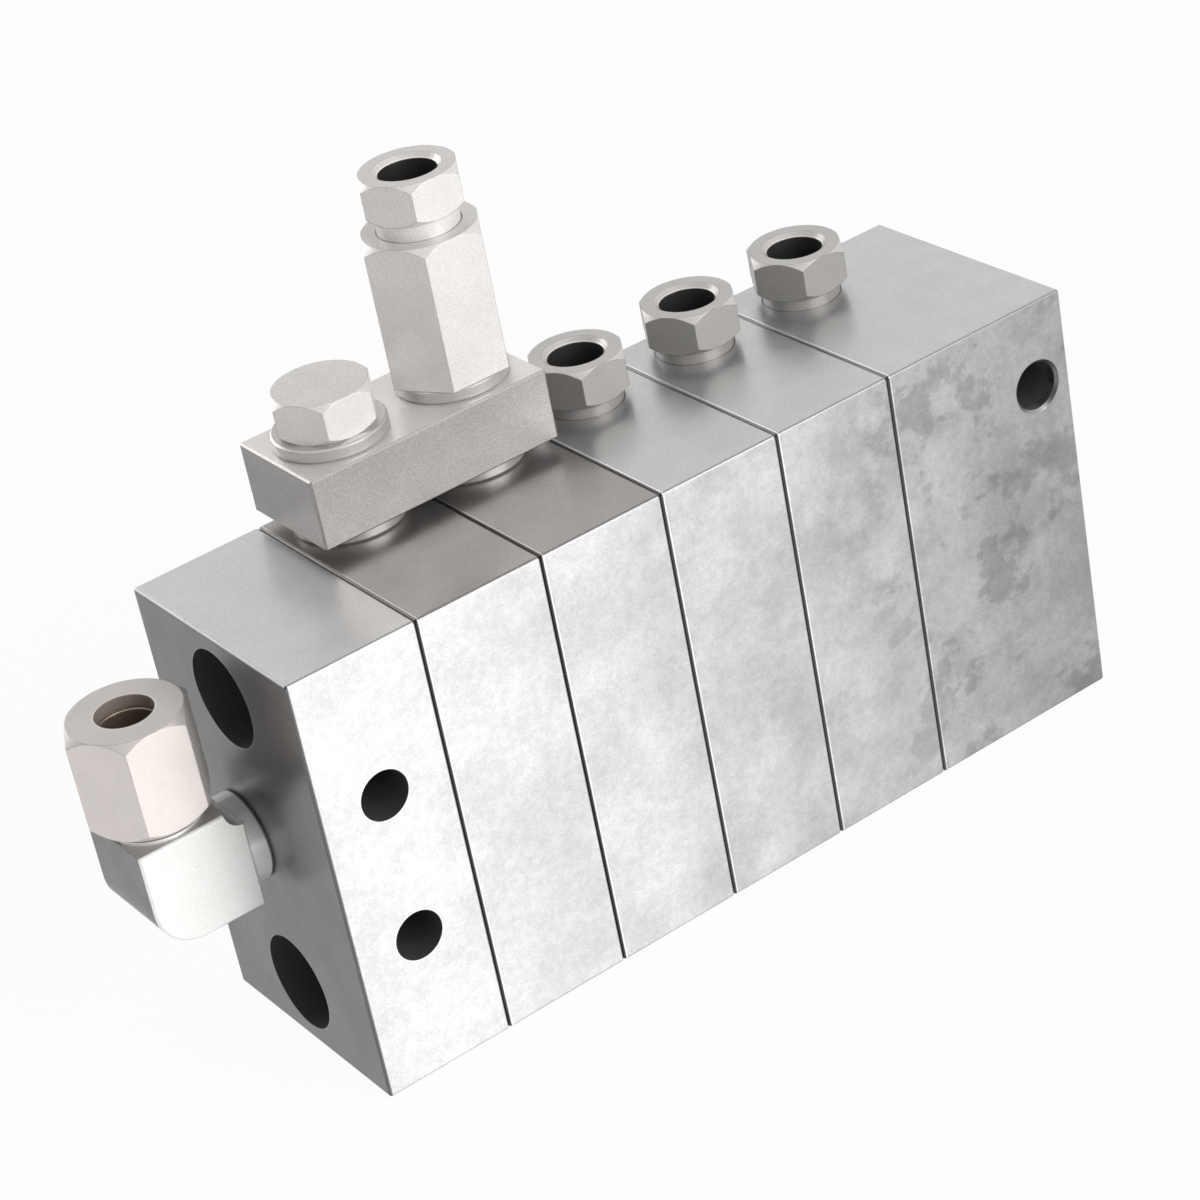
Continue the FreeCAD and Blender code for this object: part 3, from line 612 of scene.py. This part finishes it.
    def bore_shade_masks(self, surface: Surface) -> tuple[Value, Value]:
        """Give the masks of the bores painted with shade and of their rims painted with a
        highlight.

        Args:
            surface: The material's surface.

        Returns:
            The mask of the bores and the mask of the rims.
        """
        graph, place = surface.graph, surface.place
        inside: Value = 0.0
        rims: Value = 0.0
        for row in self.bores:
            across, up, along = row.axis.value
            mask = surface.effects.bore.place(
                graph, Across=place[across], Up=place[up], Centre_Across=row.across,
                Centre_Up=row.up, Pitch=row.pitch, Radius=row.radius, Rim=row.rim,
            )
            among = graph.between(place[along], row.start, row.stop)
            here = graph.math("MULTIPLY", mask.outputs["Inside"], among)
            inside = graph.math("MAXIMUM", inside, here)
            here = graph.math("MULTIPLY", mask.outputs["Rim"], among)
            rims = graph.math("MAXIMUM", rims, here)
        return inside, rims


@dataclass(frozen=True)
class ZincFinish(Finish):
    """The slices: mottled zinc on the front and back, ground satin elsewhere.

    A reach is the part of the row, along X, over which a tone goes from its first value
    to its second.
    """

    first_joint: float = 0.0
    last_joint: float = 0.0
    pitch: float = 1.0
    zinc: Colour = (1.0, 1.0, 1.005)
    # Painted light on the zinc, falling off along the row away from the inlet
    painted_light_reach: Limits = (-42.0 * MM, 44.0 * MM)
    painted_light_tones: Limits = (0.86, 0.31)
    cloud_reach: Limits = (-45.0 * MM, 20.0 * MM)
    cloud_depths: Limits = (0.10, 0.30)
    cloud_middle: float = 0.6
    island_reach: Limits = (8.0 * MM, 34.0 * MM)
    island_depths: Limits = (0.042, 0.28)
    fleck_tones: Limits = (0.94, 1.05)
    joint_width: float = 0.25 * MM
    joint_tone: float = 0.53
    # Painted highlight beside each joint line
    joint_painted_highlight: float = 1.7
    ground_joint: float = 0.9
    ground_metallic: float = 0.85
    ground_gloss: float = 0.92

    def skin(self, surface: Surface) -> Value:
        """Give 1 on the zinc of the front and back, and 0 on the ground faces."""
        graph = surface.graph
        return graph.span(graph.math("ABSOLUTE", surface.facing["Y"]), *FRONTWARD)

    def metal_share(self, surface: Surface) -> Value:
        """Give more bare metal on the ground faces than on the zinc."""
        skin = self.skin(surface)
        return surface.graph.span(skin, 0.0, 1.0, self.ground_metallic, self.metallic)

    def satin(self, surface: Surface) -> Value:
        """Give the roughness, lower on the ground faces than on the zinc."""
        share = surface.graph.span(self.skin(surface), 0.0, 1.0, self.ground_gloss, 1.0)
        return surface.graph.math("MULTIPLY", super().satin(surface), share)

    def body_colour(self, surface: Surface) -> Value:
        """Give zinc on the front and back, the ground elsewhere, joint lines and painted
        highlights.

        Args:
            surface: The material's surface.

        Returns:
            The colour.
        """
        graph = surface.graph
        skin = self.skin(surface)
        colour = graph.mix(skin, super().body_colour(surface), self.zinc_colour(surface))
        line = surface.effects.joint.place(
            graph, Along=surface.place["X"], First=self.first_joint, Last=self.last_joint,
            Pitch=self.pitch, Width=self.joint_width,
        )
        depth = graph.span(skin, 0.0, 1.0, self.ground_joint, 1.0)
        dark = graph.math("MULTIPLY", line.outputs["Dark"], depth)
        colour = graph.mix(dark, colour, graph.shade(colour, self.joint_tone))
        # Painted highlight beside each joint line
        return graph.mix(line.outputs["Bright"], colour, graph.shade(colour, self.joint_painted_highlight))

    def zinc_colour(self, surface: Surface) -> Value:
        """Give the mottled zinc with painted light falling off away from the inlet, where it is
        patchier.

        Args:
            surface: The material's surface.

        Returns:
            The colour.
        """
        graph, along = surface.graph, surface.place["X"]
        clouds = surface.effects.clouds.place(graph, Vector=surface.where).outputs
        # Painted light that falls off away from the inlet
        tone = graph.span(along, *self.painted_light_reach, *self.painted_light_tones, straight=True)
        depth = graph.span(along, *self.cloud_reach, *self.cloud_depths, straight=True)
        below = graph.math("SUBTRACT", self.cloud_middle, clouds["Cloud"])
        depths = (
            graph.math("MULTIPLY", below, depth),
            graph.math(
                "MULTIPLY", clouds["Island"],
                graph.span(along, *self.island_reach, *self.island_depths),
            ),
        )
        for dull in depths:
            tone = graph.math("MULTIPLY", tone, graph.math("SUBTRACT", 1.0, dull))
        fleck = graph.span(clouds["Fleck"], 0.0, 1.0, *self.fleck_tones)
        # Flecks of the zinc, then painted shade on the rounded edges
        for factor in (fleck, self.painted_round_tone(surface)):
            tone = graph.math("MULTIPLY", tone, factor)
        return graph.shade(self.zinc, tone)


BRIGHT_NICKEL = Finish("bright_nickel", (0.710, 0.686, 0.667), metallic=0.32, grain=0.12)
PLATED_PLUG = Finish("plated_plug", (0.50, 0.49, 0.47), roughness=0.33, metallic=0.75, grain=0.06)


@dataclass
class Workshop:
    """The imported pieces, the shared effects and the finishes made so far."""

    nodes: Mapping[str, bpy.types.Object]
    effects: Effects = field(default_factory=Effects)
    made: dict[str, bpy.types.Material] = field(default_factory=dict)

    def material(self, finish: Finish) -> bpy.types.Material:
        """Give the finish's material, built once.

        Args:
            finish: The finish.

        Returns:
            Its material.
        """
        if finish.name not in self.made:
            self.made[finish.name] = finish.material(self.effects)
        return self.made[finish.name]

    def dress(self, finish: Finish, *names: str) -> None:
        """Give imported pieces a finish.

        Args:
            finish: What they get.
            names: The pieces.
        """
        for name in names:
            for slot in self.nodes[name].material_slots:
                slot.material = self.material(finish)
            LOG.info("%s: %s", name, finish.name)


# Shapes that repeat or follow a path


@dataclass
class Pattern:
    """A geometry tree with named sizes, which makes one piece of the block."""

    WELD: ClassVar[float] = 0.001 * MM

    name: str
    sizes: Mapping[str, Union[int, float]]
    tree: Optional[bpy.types.NodeTree] = field(default=None, init=False)

    def open(self) -> tuple[Graph, bpy.types.Node]:
        """Make the tree with its sockets.

        Returns:
            The tree's graph and the node with its inputs.
        """
        self.tree = bpy.data.node_groups.new(self.name, "GeometryNodeTree")
        for name, size in self.sizes.items():
            kind = "NodeSocketInt" if isinstance(size, int) else "NodeSocketFloat"
            self.tree.interface.new_socket(name, in_out="INPUT", socket_type=kind)
        sockets = self.tree.interface
        sockets.new_socket("Material", in_out="INPUT", socket_type="NodeSocketMaterial")
        sockets.new_socket("Geometry", in_out="OUTPUT", socket_type="NodeSocketGeometry")
        graph = Graph(self.tree)
        return graph, graph.add("NodeGroupInput")

    def close(self, graph: Graph, given: bpy.types.Node, shape: Value) -> None:
        """End the tree in real faces with a material.

        Args:
            graph: The tree's graph.
            given: The node with its inputs.
            shape: The geometry.
        """
        real = graph.add("GeometryNodeRealizeInstances", {"Geometry": shape})
        dressed = graph.add(
            "GeometryNodeSetMaterial",
            {"Geometry": real.outputs["Geometry"], "Material": given.outputs["Material"]},
        )
        graph.add("NodeGroupOutput", {"Geometry": dressed.outputs["Geometry"]})

    def make(self, name: str, material: bpy.types.Material) -> bpy.types.Object:
        """Turn the tree into a plain mesh piece with its faces outwards.

        Args:
            name: The piece's name.
            material: Its material.

        Returns:
            The piece.
        """
        piece = bpy.data.objects.new(name, bpy.data.meshes.new(name))
        bpy.context.scene.collection.objects.link(piece)
        modifier = piece.modifiers.new(self.name, "NODES")
        modifier.node_group = self.tree
        values = {**self.sizes, "Material": material}
        for item in self.tree.interface.items_tree:
            if item.in_out == "INPUT":
                modifier[item.identifier] = values[item.name]
        piece.update_tag()
        graph = bpy.context.evaluated_depsgraph_get()
        mesh = bpy.data.meshes.new_from_object(piece.evaluated_get(graph))
        piece.modifiers.remove(modifier)
        piece.data = mesh
        shape = bmesh.new()
        shape.from_mesh(mesh)
        bmesh.ops.remove_doubles(shape, verts=shape.verts, dist=self.WELD)
        bmesh.ops.recalc_face_normals(shape, faces=shape.faces)
        shape.to_mesh(mesh)
        shape.free()
        return piece


class HeadRidges(Pattern):
    """Straight ridges round the heads of two screws that lie along the row."""

    HEADS: int = 2
    RIDGE_SIDES: int = 3

    def __init__(self, **sizes: Union[int, float]) -> None:
        """Build the tree.

        Args:
            sizes: The tree's sizes by name.
        """
        super().__init__("head_ridges", {name.replace("_", " "): v for name, v in sizes.items()})
        graph, given = self.open()
        take = given.outputs
        ring = graph.add(
            "GeometryNodeMeshCircle", {"Vertices": take["Ridges"], "Radius": take["Ring Radius"]}
        )
        ridge = graph.add(
            "GeometryNodeMeshCylinder",
            {"Vertices": self.RIDGE_SIDES, "Radius": take["Ridge Radius"],
             "Depth": take["Ridge Length"]},
        )
        outward = graph.add(
            "FunctionNodeAlignRotationToVector",
            {"Vector": graph.add("GeometryNodeInputPosition").outputs[0]}, axis="X", pivot_axis="Z",
        )
        ridges = graph.add(
            "GeometryNodeInstanceOnPoints",
            {"Points": ring.outputs["Mesh"], "Instance": ridge.outputs["Mesh"],
             "Rotation": outward.outputs["Rotation"]},
        )
        laid = graph.add(
            "GeometryNodeTransform",
            {"Geometry": ridges.outputs["Instances"], "Rotation": (0.0, math.pi / 2, 0.0)},
        )
        low = graph.add("ShaderNodeCombineXYZ", {"X": take["Middle"], "Z": take["Lower Level"]})
        step = graph.add("ShaderNodeCombineXYZ", {"Z": take["Spacing"]})
        heads = graph.add(
            "GeometryNodeMeshLine",
            {"Count": self.HEADS, "Start Location": low.outputs[0], "Offset": step.outputs[0]},
        )
        both = graph.add(
            "GeometryNodeInstanceOnPoints",
            {"Points": heads.outputs["Mesh"], "Instance": laid.outputs["Geometry"]},
        )
        self.close(graph, given, both.outputs["Instances"])


class UprightHelix(Pattern):
    """A wire or a thread's crest that winds round an upright axis."""

    STEPS_PER_TURN: int = 40

    def __init__(self, **sizes: Union[int, float]) -> None:
        """Build the tree.

        Args:
            sizes: The tree's sizes by name.
        """
        super().__init__("upright_helix", {name.replace("_", " "): v for name, v in sizes.items()})
        graph, given = self.open()
        take = given.outputs
        path = graph.add(
            "GeometryNodeCurveSpiral",
            {"Resolution": self.STEPS_PER_TURN, "Rotations": take["Turns"],
             "Start Radius": take["Path Radius"], "End Radius": take["Path Radius"],
             "Height": take["Height"]},
        )
        profile = graph.add(
            "GeometryNodeCurvePrimitiveCircle",
            {"Resolution": take["Sides"], "Radius": take["Thickness"]},
        )
        wire = graph.add(
            "GeometryNodeCurveToMesh",
            {"Curve": path.outputs["Curve"], "Profile Curve": profile.outputs["Curve"],
             "Fill Caps": True},
        )
        centre = graph.add(
            "ShaderNodeCombineXYZ", {"X": take["Across"], "Y": take["Back"], "Z": take["Foot"]}
        )
        stood = graph.add(
            "GeometryNodeTransform",
            {"Geometry": wire.outputs["Mesh"], "Translation": centre.outputs[0]},
        )
        self.close(graph, given, stood.outputs["Geometry"])


# Sub-assemblies


@dataclass
class SliceRow:
    """The inlet slice, the four middle slices and the end slice."""

    pitch: float = 15.1 * MM
    first_joint: float = -34.9 * MM
    last_joint: float = 25.5 * MM
    ground: Colour = (0.555, 0.551, 0.546)
    # Ground colour of the two slices under the bar, darkened as painted shade from the bar
    shaded_ground_under_bar: Colour = (0.362, 0.347, 0.337)
    # Painted shade on the slices' faces towards -X
    painted_end_shade: float = 0.285
    screw_levels: tuple[float, float] = (7.35 * MM, 42.65 * MM)
    screw_hole: float = 5.5 * MM
    screw_hole_end: float = -34.0 * MM
    mount_hole: float = 2.75 * MM
    mounts_across: float = -42.5 * MM
    mount_levels: tuple[float, float] = (16.45 * MM, 33.55 * MM)
    end_mount: tuple[float, float] = (45.4 * MM, 40.1 * MM)
    end_mount_wall: float = 13.7 * MM

    def zinc(self, name: str, ground: Colour, bores: tuple[BoreRow, ...] = ()) -> ZincFinish:
        """Give the zinc finish of one kind of slice.

        Args:
            name: The finish's name.
            ground: The colour of its ground faces.
            bores: The holes painted dark inside as shade.

        Returns:
            The finish.
        """
        # Painted shade on the faces towards -X, on edges, on rounded edges and in the holes
        return ZincFinish(
            name, ground, roughness=0.34, metallic=0.35, painted_end_shade=self.painted_end_shade, grain=0.09,
            bump=0.05, edge_radius=0.09 * MM, painted_edge_tone=0.60, painted_round_tones=(0.28, 0.60, 0.55),
            bores=bores, painted_bore_shade=(0.075, 0.075, 0.077), first_joint=self.first_joint,
            last_joint=self.last_joint, pitch=self.pitch,
        )

    def inlet_holes(self) -> tuple[BoreRow, ...]:
        """Give the holes of the inlet slice.

        Returns:
            The two counterbores at its end and its two mounting holes.
        """
        deep = [
            BoreRow(Axis.ALONG_ROW, 0.0, level, self.screw_hole, stop=self.screw_hole_end)
            for level in self.screw_levels
        ]
        through = [
            BoreRow(Axis.FRONT_TO_BACK, self.mounts_across, level, self.mount_hole)
            for level in self.mount_levels
        ]
        return (*deep, *through)

    def build(self, shop: Workshop) -> None:
        """Dress the slices and the seals between them.

        Args:
            shop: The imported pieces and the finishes.
        """
        shop.dress(self.zinc("zinc_inlet", self.ground, self.inlet_holes()), "inlet_section")
        # The two slices under the bar get their ground faces darkened as painted shade
        shop.dress(self.zinc("zinc_shaded_under_bar", self.shaded_ground_under_bar), "middle_section_1", "middle_section_2")
        shop.dress(self.zinc("zinc_plain", self.ground), "middle_section_3", "middle_section_4")
        wall = self.end_mount_wall
        hole = BoreRow(Axis.FRONT_TO_BACK, *self.end_mount, self.mount_hole, start=-wall, stop=wall)
        shop.dress(self.zinc("zinc_end", self.ground, (hole,)), "end_section")
        # Painted highlight along the rubber's edges
        rubber = Finish(
            "black_rubber", (0.022, 0.022, 0.024), roughness=0.6, metallic=0.0, painted_edge_tone=1.6
        )
        shop.dress(rubber, *(name for name in shop.nodes if name.startswith("joint_seals")))


@dataclass
class TieScrews:
    """The two long clamping screws, with ridged heads."""

    ridges: int = 44
    head_radius: float = 5.0 * MM
    ridge_radius: float = 0.3 * MM
    ridge_length: float = 4.6 * MM
    head_middle: float = -41.4 * MM
    lower_level: float = 7.35 * MM
    spacing: float = 35.3 * MM

    def build(self, shop: Workshop) -> None:
        """Dress the screws and put the ridges round their heads.

        Args:
            shop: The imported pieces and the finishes.
        """
        # Painted highlight along the screws' edges
        steel = Finish(
            "black_steel", (0.028, 0.028, 0.030), roughness=0.42, metallic=0.6, painted_edge_tone=1.8
        )
        shop.dress(steel, "tie_screws")
        pattern = HeadRidges(
            Ridges=self.ridges, Ring_Radius=self.head_radius, Ridge_Radius=self.ridge_radius,
            Ridge_Length=self.ridge_length, Middle=self.head_middle,
            Lower_Level=self.lower_level, Spacing=self.spacing,
        )
        piece = pattern.make("tie_head_ridges", shop.material(steel))
        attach(piece, "block")
        LOG.info("%s: %d ridges on each head", piece.name, self.ridges)


@dataclass
class SpoolPistons:
    """The five spool pistons and the plugs that close their bores and drillings."""

    count: int = 5

    def build(self, shop: Workshop) -> None:
        """Dress the pistons and the plugs.

        Args:
            shop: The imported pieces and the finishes.
        """
        lapped = Finish(
            "lapped_steel", (0.60, 0.60, 0.61), roughness=0.16, metallic=1.0, grain=0.02, bump=0.03
        )
        shop.dress(lapped, *(f"piston_{number}" for number in range(1, self.count + 1)))
        shop.dress(PLATED_PLUG, "bore_plugs", "drilling_plugs", "closure_plugs")


@dataclass
class OutletUnions:
    """The three hollow union screws over the last outlets, with their sleeves."""

    count: int = 3
    axis: tuple[float, float] = (2.85 * MM, 8.5 * MM)
    pitch: float = 15.1 * MM
    bore: float = 3.06 * MM

    def build(self, shop: Workshop) -> None:
        """Dress the union screws and the sleeves.

        Args:
            shop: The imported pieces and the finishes.
        """
        # Painted shade on the unions' upright flats and in their bores, painted highlight on the
        # rims
        bores = (BoreRow(Axis.UPRIGHT, *self.axis, self.bore, pitch=self.pitch),)
        nickel = Finish(
            "dull_nickel", (0.548, 0.529, 0.512), metallic=0.32, painted_upright_tone=0.53, grain=0.06, bores=bores
        )
        numbers = range(1, self.count + 1)
        shop.dress(nickel, *(f"outlet_union_{number}" for number in numbers))
        brass = Finish("dull_brass", (0.34, 0.275, 0.215), roughness=0.32, metallic=0.7, grain=0.05)
        shop.dress(brass, *(f"outlet_sleeve_{number}" for number in numbers))
        shop.dress(brass, "valve_sleeve", "elbow_sleeve")


@dataclass
class CrossportBar:
    """The bar over the first two outlets, its closure screw, plug and sealing rings."""

    rings: tuple[str, ...] = (
        "screw_ring_lower", "screw_ring_upper", "valve_ring_lower", "valve_ring_upper",
    )

    def build(self, shop: Workshop) -> None:
        """Dress the bar and what holds and seals it.

        Args:
            shop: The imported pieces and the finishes.
        """
        # Painted shade on the bar's upright faces, its face towards -X, its edges and rounded edges
        bar = Finish(
            "bar_steel", (0.800, 0.765, 0.745), metallic=0.55, painted_upright_tone=0.435, painted_end_shade=0.81,
            grain=0.16, edge_radius=0.05 * MM, painted_edge_tone=0.50, painted_round_tones=(1.0, 0.5, 0.6),
        )
        shop.dress(bar, "crossport_bar")
        # Painted shade on the rings' upright faces
        ring = Finish("ring_steel", (0.545, 0.524, 0.507), metallic=0.6, painted_upright_tone=0.82, grain=0.05)
        shop.dress(ring, *self.rings)
        shop.dress(BRIGHT_NICKEL, "closure_screw")
        shop.dress(PLATED_PLUG, "bar_plug")


@dataclass
class CheckValve:
    """The check valve over the second outlet: body, ball, spring, retainer and union."""

    axis: tuple[float, float] = (-12.25 * MM, 8.5 * MM)
    bore: float = 3.06 * MM
    spring_foot: float = 60.27 * MM
    spring_rise: float = 2.75 * MM
    spring_radius: float = 1.2 * MM
    spring_wire: float = 0.2 * MM
    spring_turns: float = 4.0
    spring_seat: float = 63.3 * MM
    ball_lift: float = 0.8 * MM

    def build(self, shop: Workshop) -> None:
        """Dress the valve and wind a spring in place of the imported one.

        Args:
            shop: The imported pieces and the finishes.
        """
        shop.dress(BRIGHT_NICKEL, "valve_body")
        # Painted shade inside the union's bore and a painted highlight on its rim
        bores = (BoreRow(Axis.UPRIGHT, *self.axis, self.bore),)
        shop.dress(replace(BRIGHT_NICKEL, name="bright_nickel_bored", bores=bores), "valve_union")
        chrome = Finish(
            "chrome_steel", (0.72, 0.72, 0.73), roughness=0.08, metallic=1.0, grain=0.01, bump=0.01
        )
        shop.dress(chrome, "valve_ball")
        spring = Finish("spring_steel", (0.36, 0.35, 0.34), roughness=0.3, metallic=0.9, grain=0.04)
        shop.dress(spring, "valve_spring_retainer")
        pattern = UprightHelix(
            Turns=self.spring_turns, Path_Radius=self.spring_radius, Height=self.spring_rise,
            Sides=10, Thickness=self.spring_wire, Across=self.axis[0], Back=self.axis[1],
            Foot=self.spring_foot,
        )
        piece = pattern.make("valve_spring_coil", shop.material(spring))
        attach(piece, "block")
        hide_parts("valve_spring")
        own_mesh(piece)
        LOG.info("%s: %.1f turns", piece.name, self.spring_turns)


@dataclass
class InletElbow:
    """The inlet elbow with its threaded leg and union nut."""

    axis: tuple[float, float] = (-59.2 * MM, 3.0 * MM)
    nut_bore: float = 3.1 * MM
    leg_radius: float = 5.0 * MM
    leg_foot: float = 32.15 * MM
    leg_shown: float = 0.9 * MM
    turns: float = 2.0
    crest: float = 0.14 * MM

    def build(self, shop: Workshop) -> None:
        """Dress the elbow and its nut, and wind the thread's crest that shows between them.

        Args:
            shop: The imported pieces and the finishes.
        """
        # Painted light on the body's upright faces and rounded edges along X, painted shade towards
        # -X, along its soft edges and on the leg between body and nut
        leg = BoreRow(Axis.UPRIGHT, *self.axis, self.leg_radius, start=self.leg_foot)
        body = Finish(
            "elbow_nickel", (0.460, 0.452, 0.441), painted_upright_tone=2.16, painted_end_shade=0.19, grain=0.08,
            painted_round_tones=(1.0, 1.35, 1.0), bores=(leg,), painted_bore_shade=(0.30, 0.285, 0.27),
        )
        shop.dress(body, "elbow_body")
        bores = (BoreRow(Axis.UPRIGHT, *self.axis, self.nut_bore),)
        # Painted light on the nut's upright flats, painted shade inside its bore
        nut = Finish(
            "nut_nickel", (0.638, 0.591, 0.564), metallic=0.20, painted_upright_tone=1.40, grain=0.05, bores=bores,
            painted_bore_shade=(0.27, 0.225, 0.195),
        )
        shop.dress(nut, "elbow_union_nut")
        pattern = UprightHelix(
            Turns=self.turns, Path_Radius=self.leg_radius, Height=self.leg_shown, Sides=4,
            Thickness=self.crest, Across=self.axis[0], Back=self.axis[1], Foot=self.leg_foot,
        )
        piece = pattern.make("elbow_thread", shop.material(body))
        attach(piece, "block")
        LOG.info("%s: %.1f turns", piece.name, self.turns)


# The studio


@dataclass(frozen=True)
class Lamp:
    """One square lamp that faces a point. Its power is in watts."""

    name: str
    place: Point
    size: float
    power: float
    aim: Point = (-10.0 * MM, 0.0, 30.0 * MM)

    def hang(self) -> None:
        """Put the lamp in the scene."""
        data = bpy.data.lights.new(self.name, "AREA")
        data.size = self.size
        data.energy = self.power
        lamp = bpy.data.objects.new(self.name, data)
        bpy.context.scene.collection.objects.link(lamp)
        facing = (Vector(self.aim) - Vector(self.place)).to_track_quat("-Z", "Y")
        lamp.matrix_world = Matrix.Translation(self.place) @ facing.to_matrix().to_4x4()


@dataclass
class Studio:
    """Pale floor, soft lamps, white surroundings and the camera.

    The angles are degrees, and the focal length and the sensor are millimetres.
    """

    target: Point = (-1.6514 * MM, 5.9390 * MM, 28.1716 * MM)
    distance: float = 370.0 * MM
    azimuth: float = 30.6403
    elevation: float = 29.7927
    roll: float = -11.3993
    focal_length: float = 102.013
    sensor_width: float = 36.0
    near_clip: float = 10.0 * MM
    floor_size: float = 4.0
    footprint: tuple[float, float] = (49.0 * MM, 14.0 * MM)
    floor_colour: Colour = (0.88, 0.88, 0.88)
    floor_roughness: float = 0.9
    floor_lift: float = 0.95
    sky_strength: float = 0.35
    lamps: tuple[Lamp, ...] = (
        Lamp("key", (110.0 * MM, -420.0 * MM, 200.0 * MM), size=360.0 * MM, power=2.02),
        Lamp("fill", (-130.0 * MM, 420.0 * MM, 160.0 * MM), size=300.0 * MM, power=0.80),
    )

    def build(self) -> None:
        """Make everything round the object: the key lamp hangs in front, the fill behind."""
        bpy.context.scene.view_settings.view_transform = "Standard"
        self.make_camera()
        self.make_floor()
        self.make_surroundings()
        for lamp in self.lamps:
            lamp.hang()

    def make_camera(self) -> None:
        """Place the camera from its direction, its distance and its roll."""
        angles = (self.azimuth, self.elevation, self.roll)
        azimuth, elevation, roll = (math.radians(angle) for angle in angles)
        forward = Vector((
            math.sin(azimuth) * math.cos(elevation),
            math.cos(azimuth) * math.cos(elevation),
            -math.sin(elevation),
        ))
        level = Vector((math.cos(azimuth), -math.sin(azimuth), 0.0))
        above = level.cross(forward)
        right = level * math.cos(roll) + above * math.sin(roll)
        up = right.cross(forward)
        turn = Matrix((right, up, -forward)).transposed()
        data = bpy.data.cameras.new("camera")
        data.lens = self.focal_length
        data.sensor_fit = "HORIZONTAL"
        data.sensor_width = self.sensor_width
        data.clip_start = self.near_clip
        camera = bpy.data.objects.new("camera", data)
        bpy.context.scene.collection.objects.link(camera)
        eye = Vector(self.target) - forward * self.distance
        camera.matrix_world = Matrix.Translation(eye) @ turn.to_4x4()
        bpy.context.scene.camera = camera

    def make_floor(self) -> None:
        """Lay the pale floor, which is open under the block and clear from below."""
        half = self.floor_size / 2
        corners = [
            (side * across, way * back, 0.0)
            for across, back in ((half, half), self.footprint)
            for side, way in ((-1, -1), (1, -1), (1, 1), (-1, 1))
        ]
        mesh = bpy.data.meshes.new("floor")
        mesh.from_pydata(corners, [], [(0, 1, 5, 4), (1, 2, 6, 5), (2, 3, 7, 6), (3, 0, 4, 7)])
        mesh.materials.append(self.floor_material())
        floor = bpy.data.objects.new("floor", mesh)
        bpy.context.scene.collection.objects.link(floor)

    def floor_material(self) -> bpy.types.Material:
        """Build the floor's material: pale and matt, lifted to white where a ray sees it.

        Returns:
            The material.
        """
        material = bpy.data.materials.new("pale_floor")
        material.use_nodes = True
        graph = Graph(material.node_tree)
        principled = material.node_tree.nodes["Principled BSDF"]
        graph.feed(principled.inputs["Base Color"], self.floor_colour)
        graph.feed(principled.inputs["Roughness"], self.floor_roughness)
        graph.feed(principled.inputs["Specular IOR Level"], 0.0)
        white = graph.add("ShaderNodeEmission", {"Color": WHITE, "Strength": 1.0})
        share = graph.math("MULTIPLY", self.seen(graph), self.floor_lift)
        pale = graph.blend(share, principled.outputs[0], white.outputs[0])
        under = graph.add("ShaderNodeNewGeometry").outputs["Backfacing"]
        clear = graph.add("ShaderNodeBsdfTransparent")
        sided = graph.blend(under, pale.outputs[0], clear.outputs[0])
        graph.feed(material.node_tree.nodes["Material Output"].inputs["Surface"], sided.outputs[0])
        return material

    def make_surroundings(self) -> None:
        """Show white all round, also in metal, and light the scene with a weaker sky."""
        world = bpy.data.worlds.new("surroundings")
        bpy.context.scene.world = world
        world.use_nodes = True
        world.node_tree.nodes.clear()
        graph = Graph(world.node_tree)
        sky = graph.add("ShaderNodeBackground", {"Color": WHITE, "Strength": self.sky_strength})
        white = graph.add("ShaderNodeBackground", {"Color": WHITE, "Strength": 1.0})
        mixed = graph.blend(self.seen(graph), sky.outputs[0], white.outputs[0])
        graph.add("ShaderNodeOutputWorld", {"Surface": mixed.outputs[0]})

    def seen(self, graph: Graph) -> Value:
        """Give 1 for rays that see or mirror the surroundings, and 0 for those that light.

        Args:
            graph: The graph of the floor or of the surroundings.

        Returns:
            The share.
        """
        path = graph.add("ShaderNodeLightPath")
        total: Value = 0.0
        for ray in Ray:
            total = graph.math("MAXIMUM", total, path.outputs[ray.value])
        return total


def main() -> None:
    """Build the studio and dress the block, one sub-assembly after another."""
    logging.basicConfig(level=logging.INFO, format="%(message)s")
    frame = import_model()
    shop = Workshop(frame["nodes"])
    Studio().build()
    for part in (
        SliceRow(), TieScrews(), SpoolPistons(), OutletUnions(), CrossportBar(), CheckValve(),
        InletElbow(),
    ):
        part.build(shop)


if __name__ == "__main__":
    main()
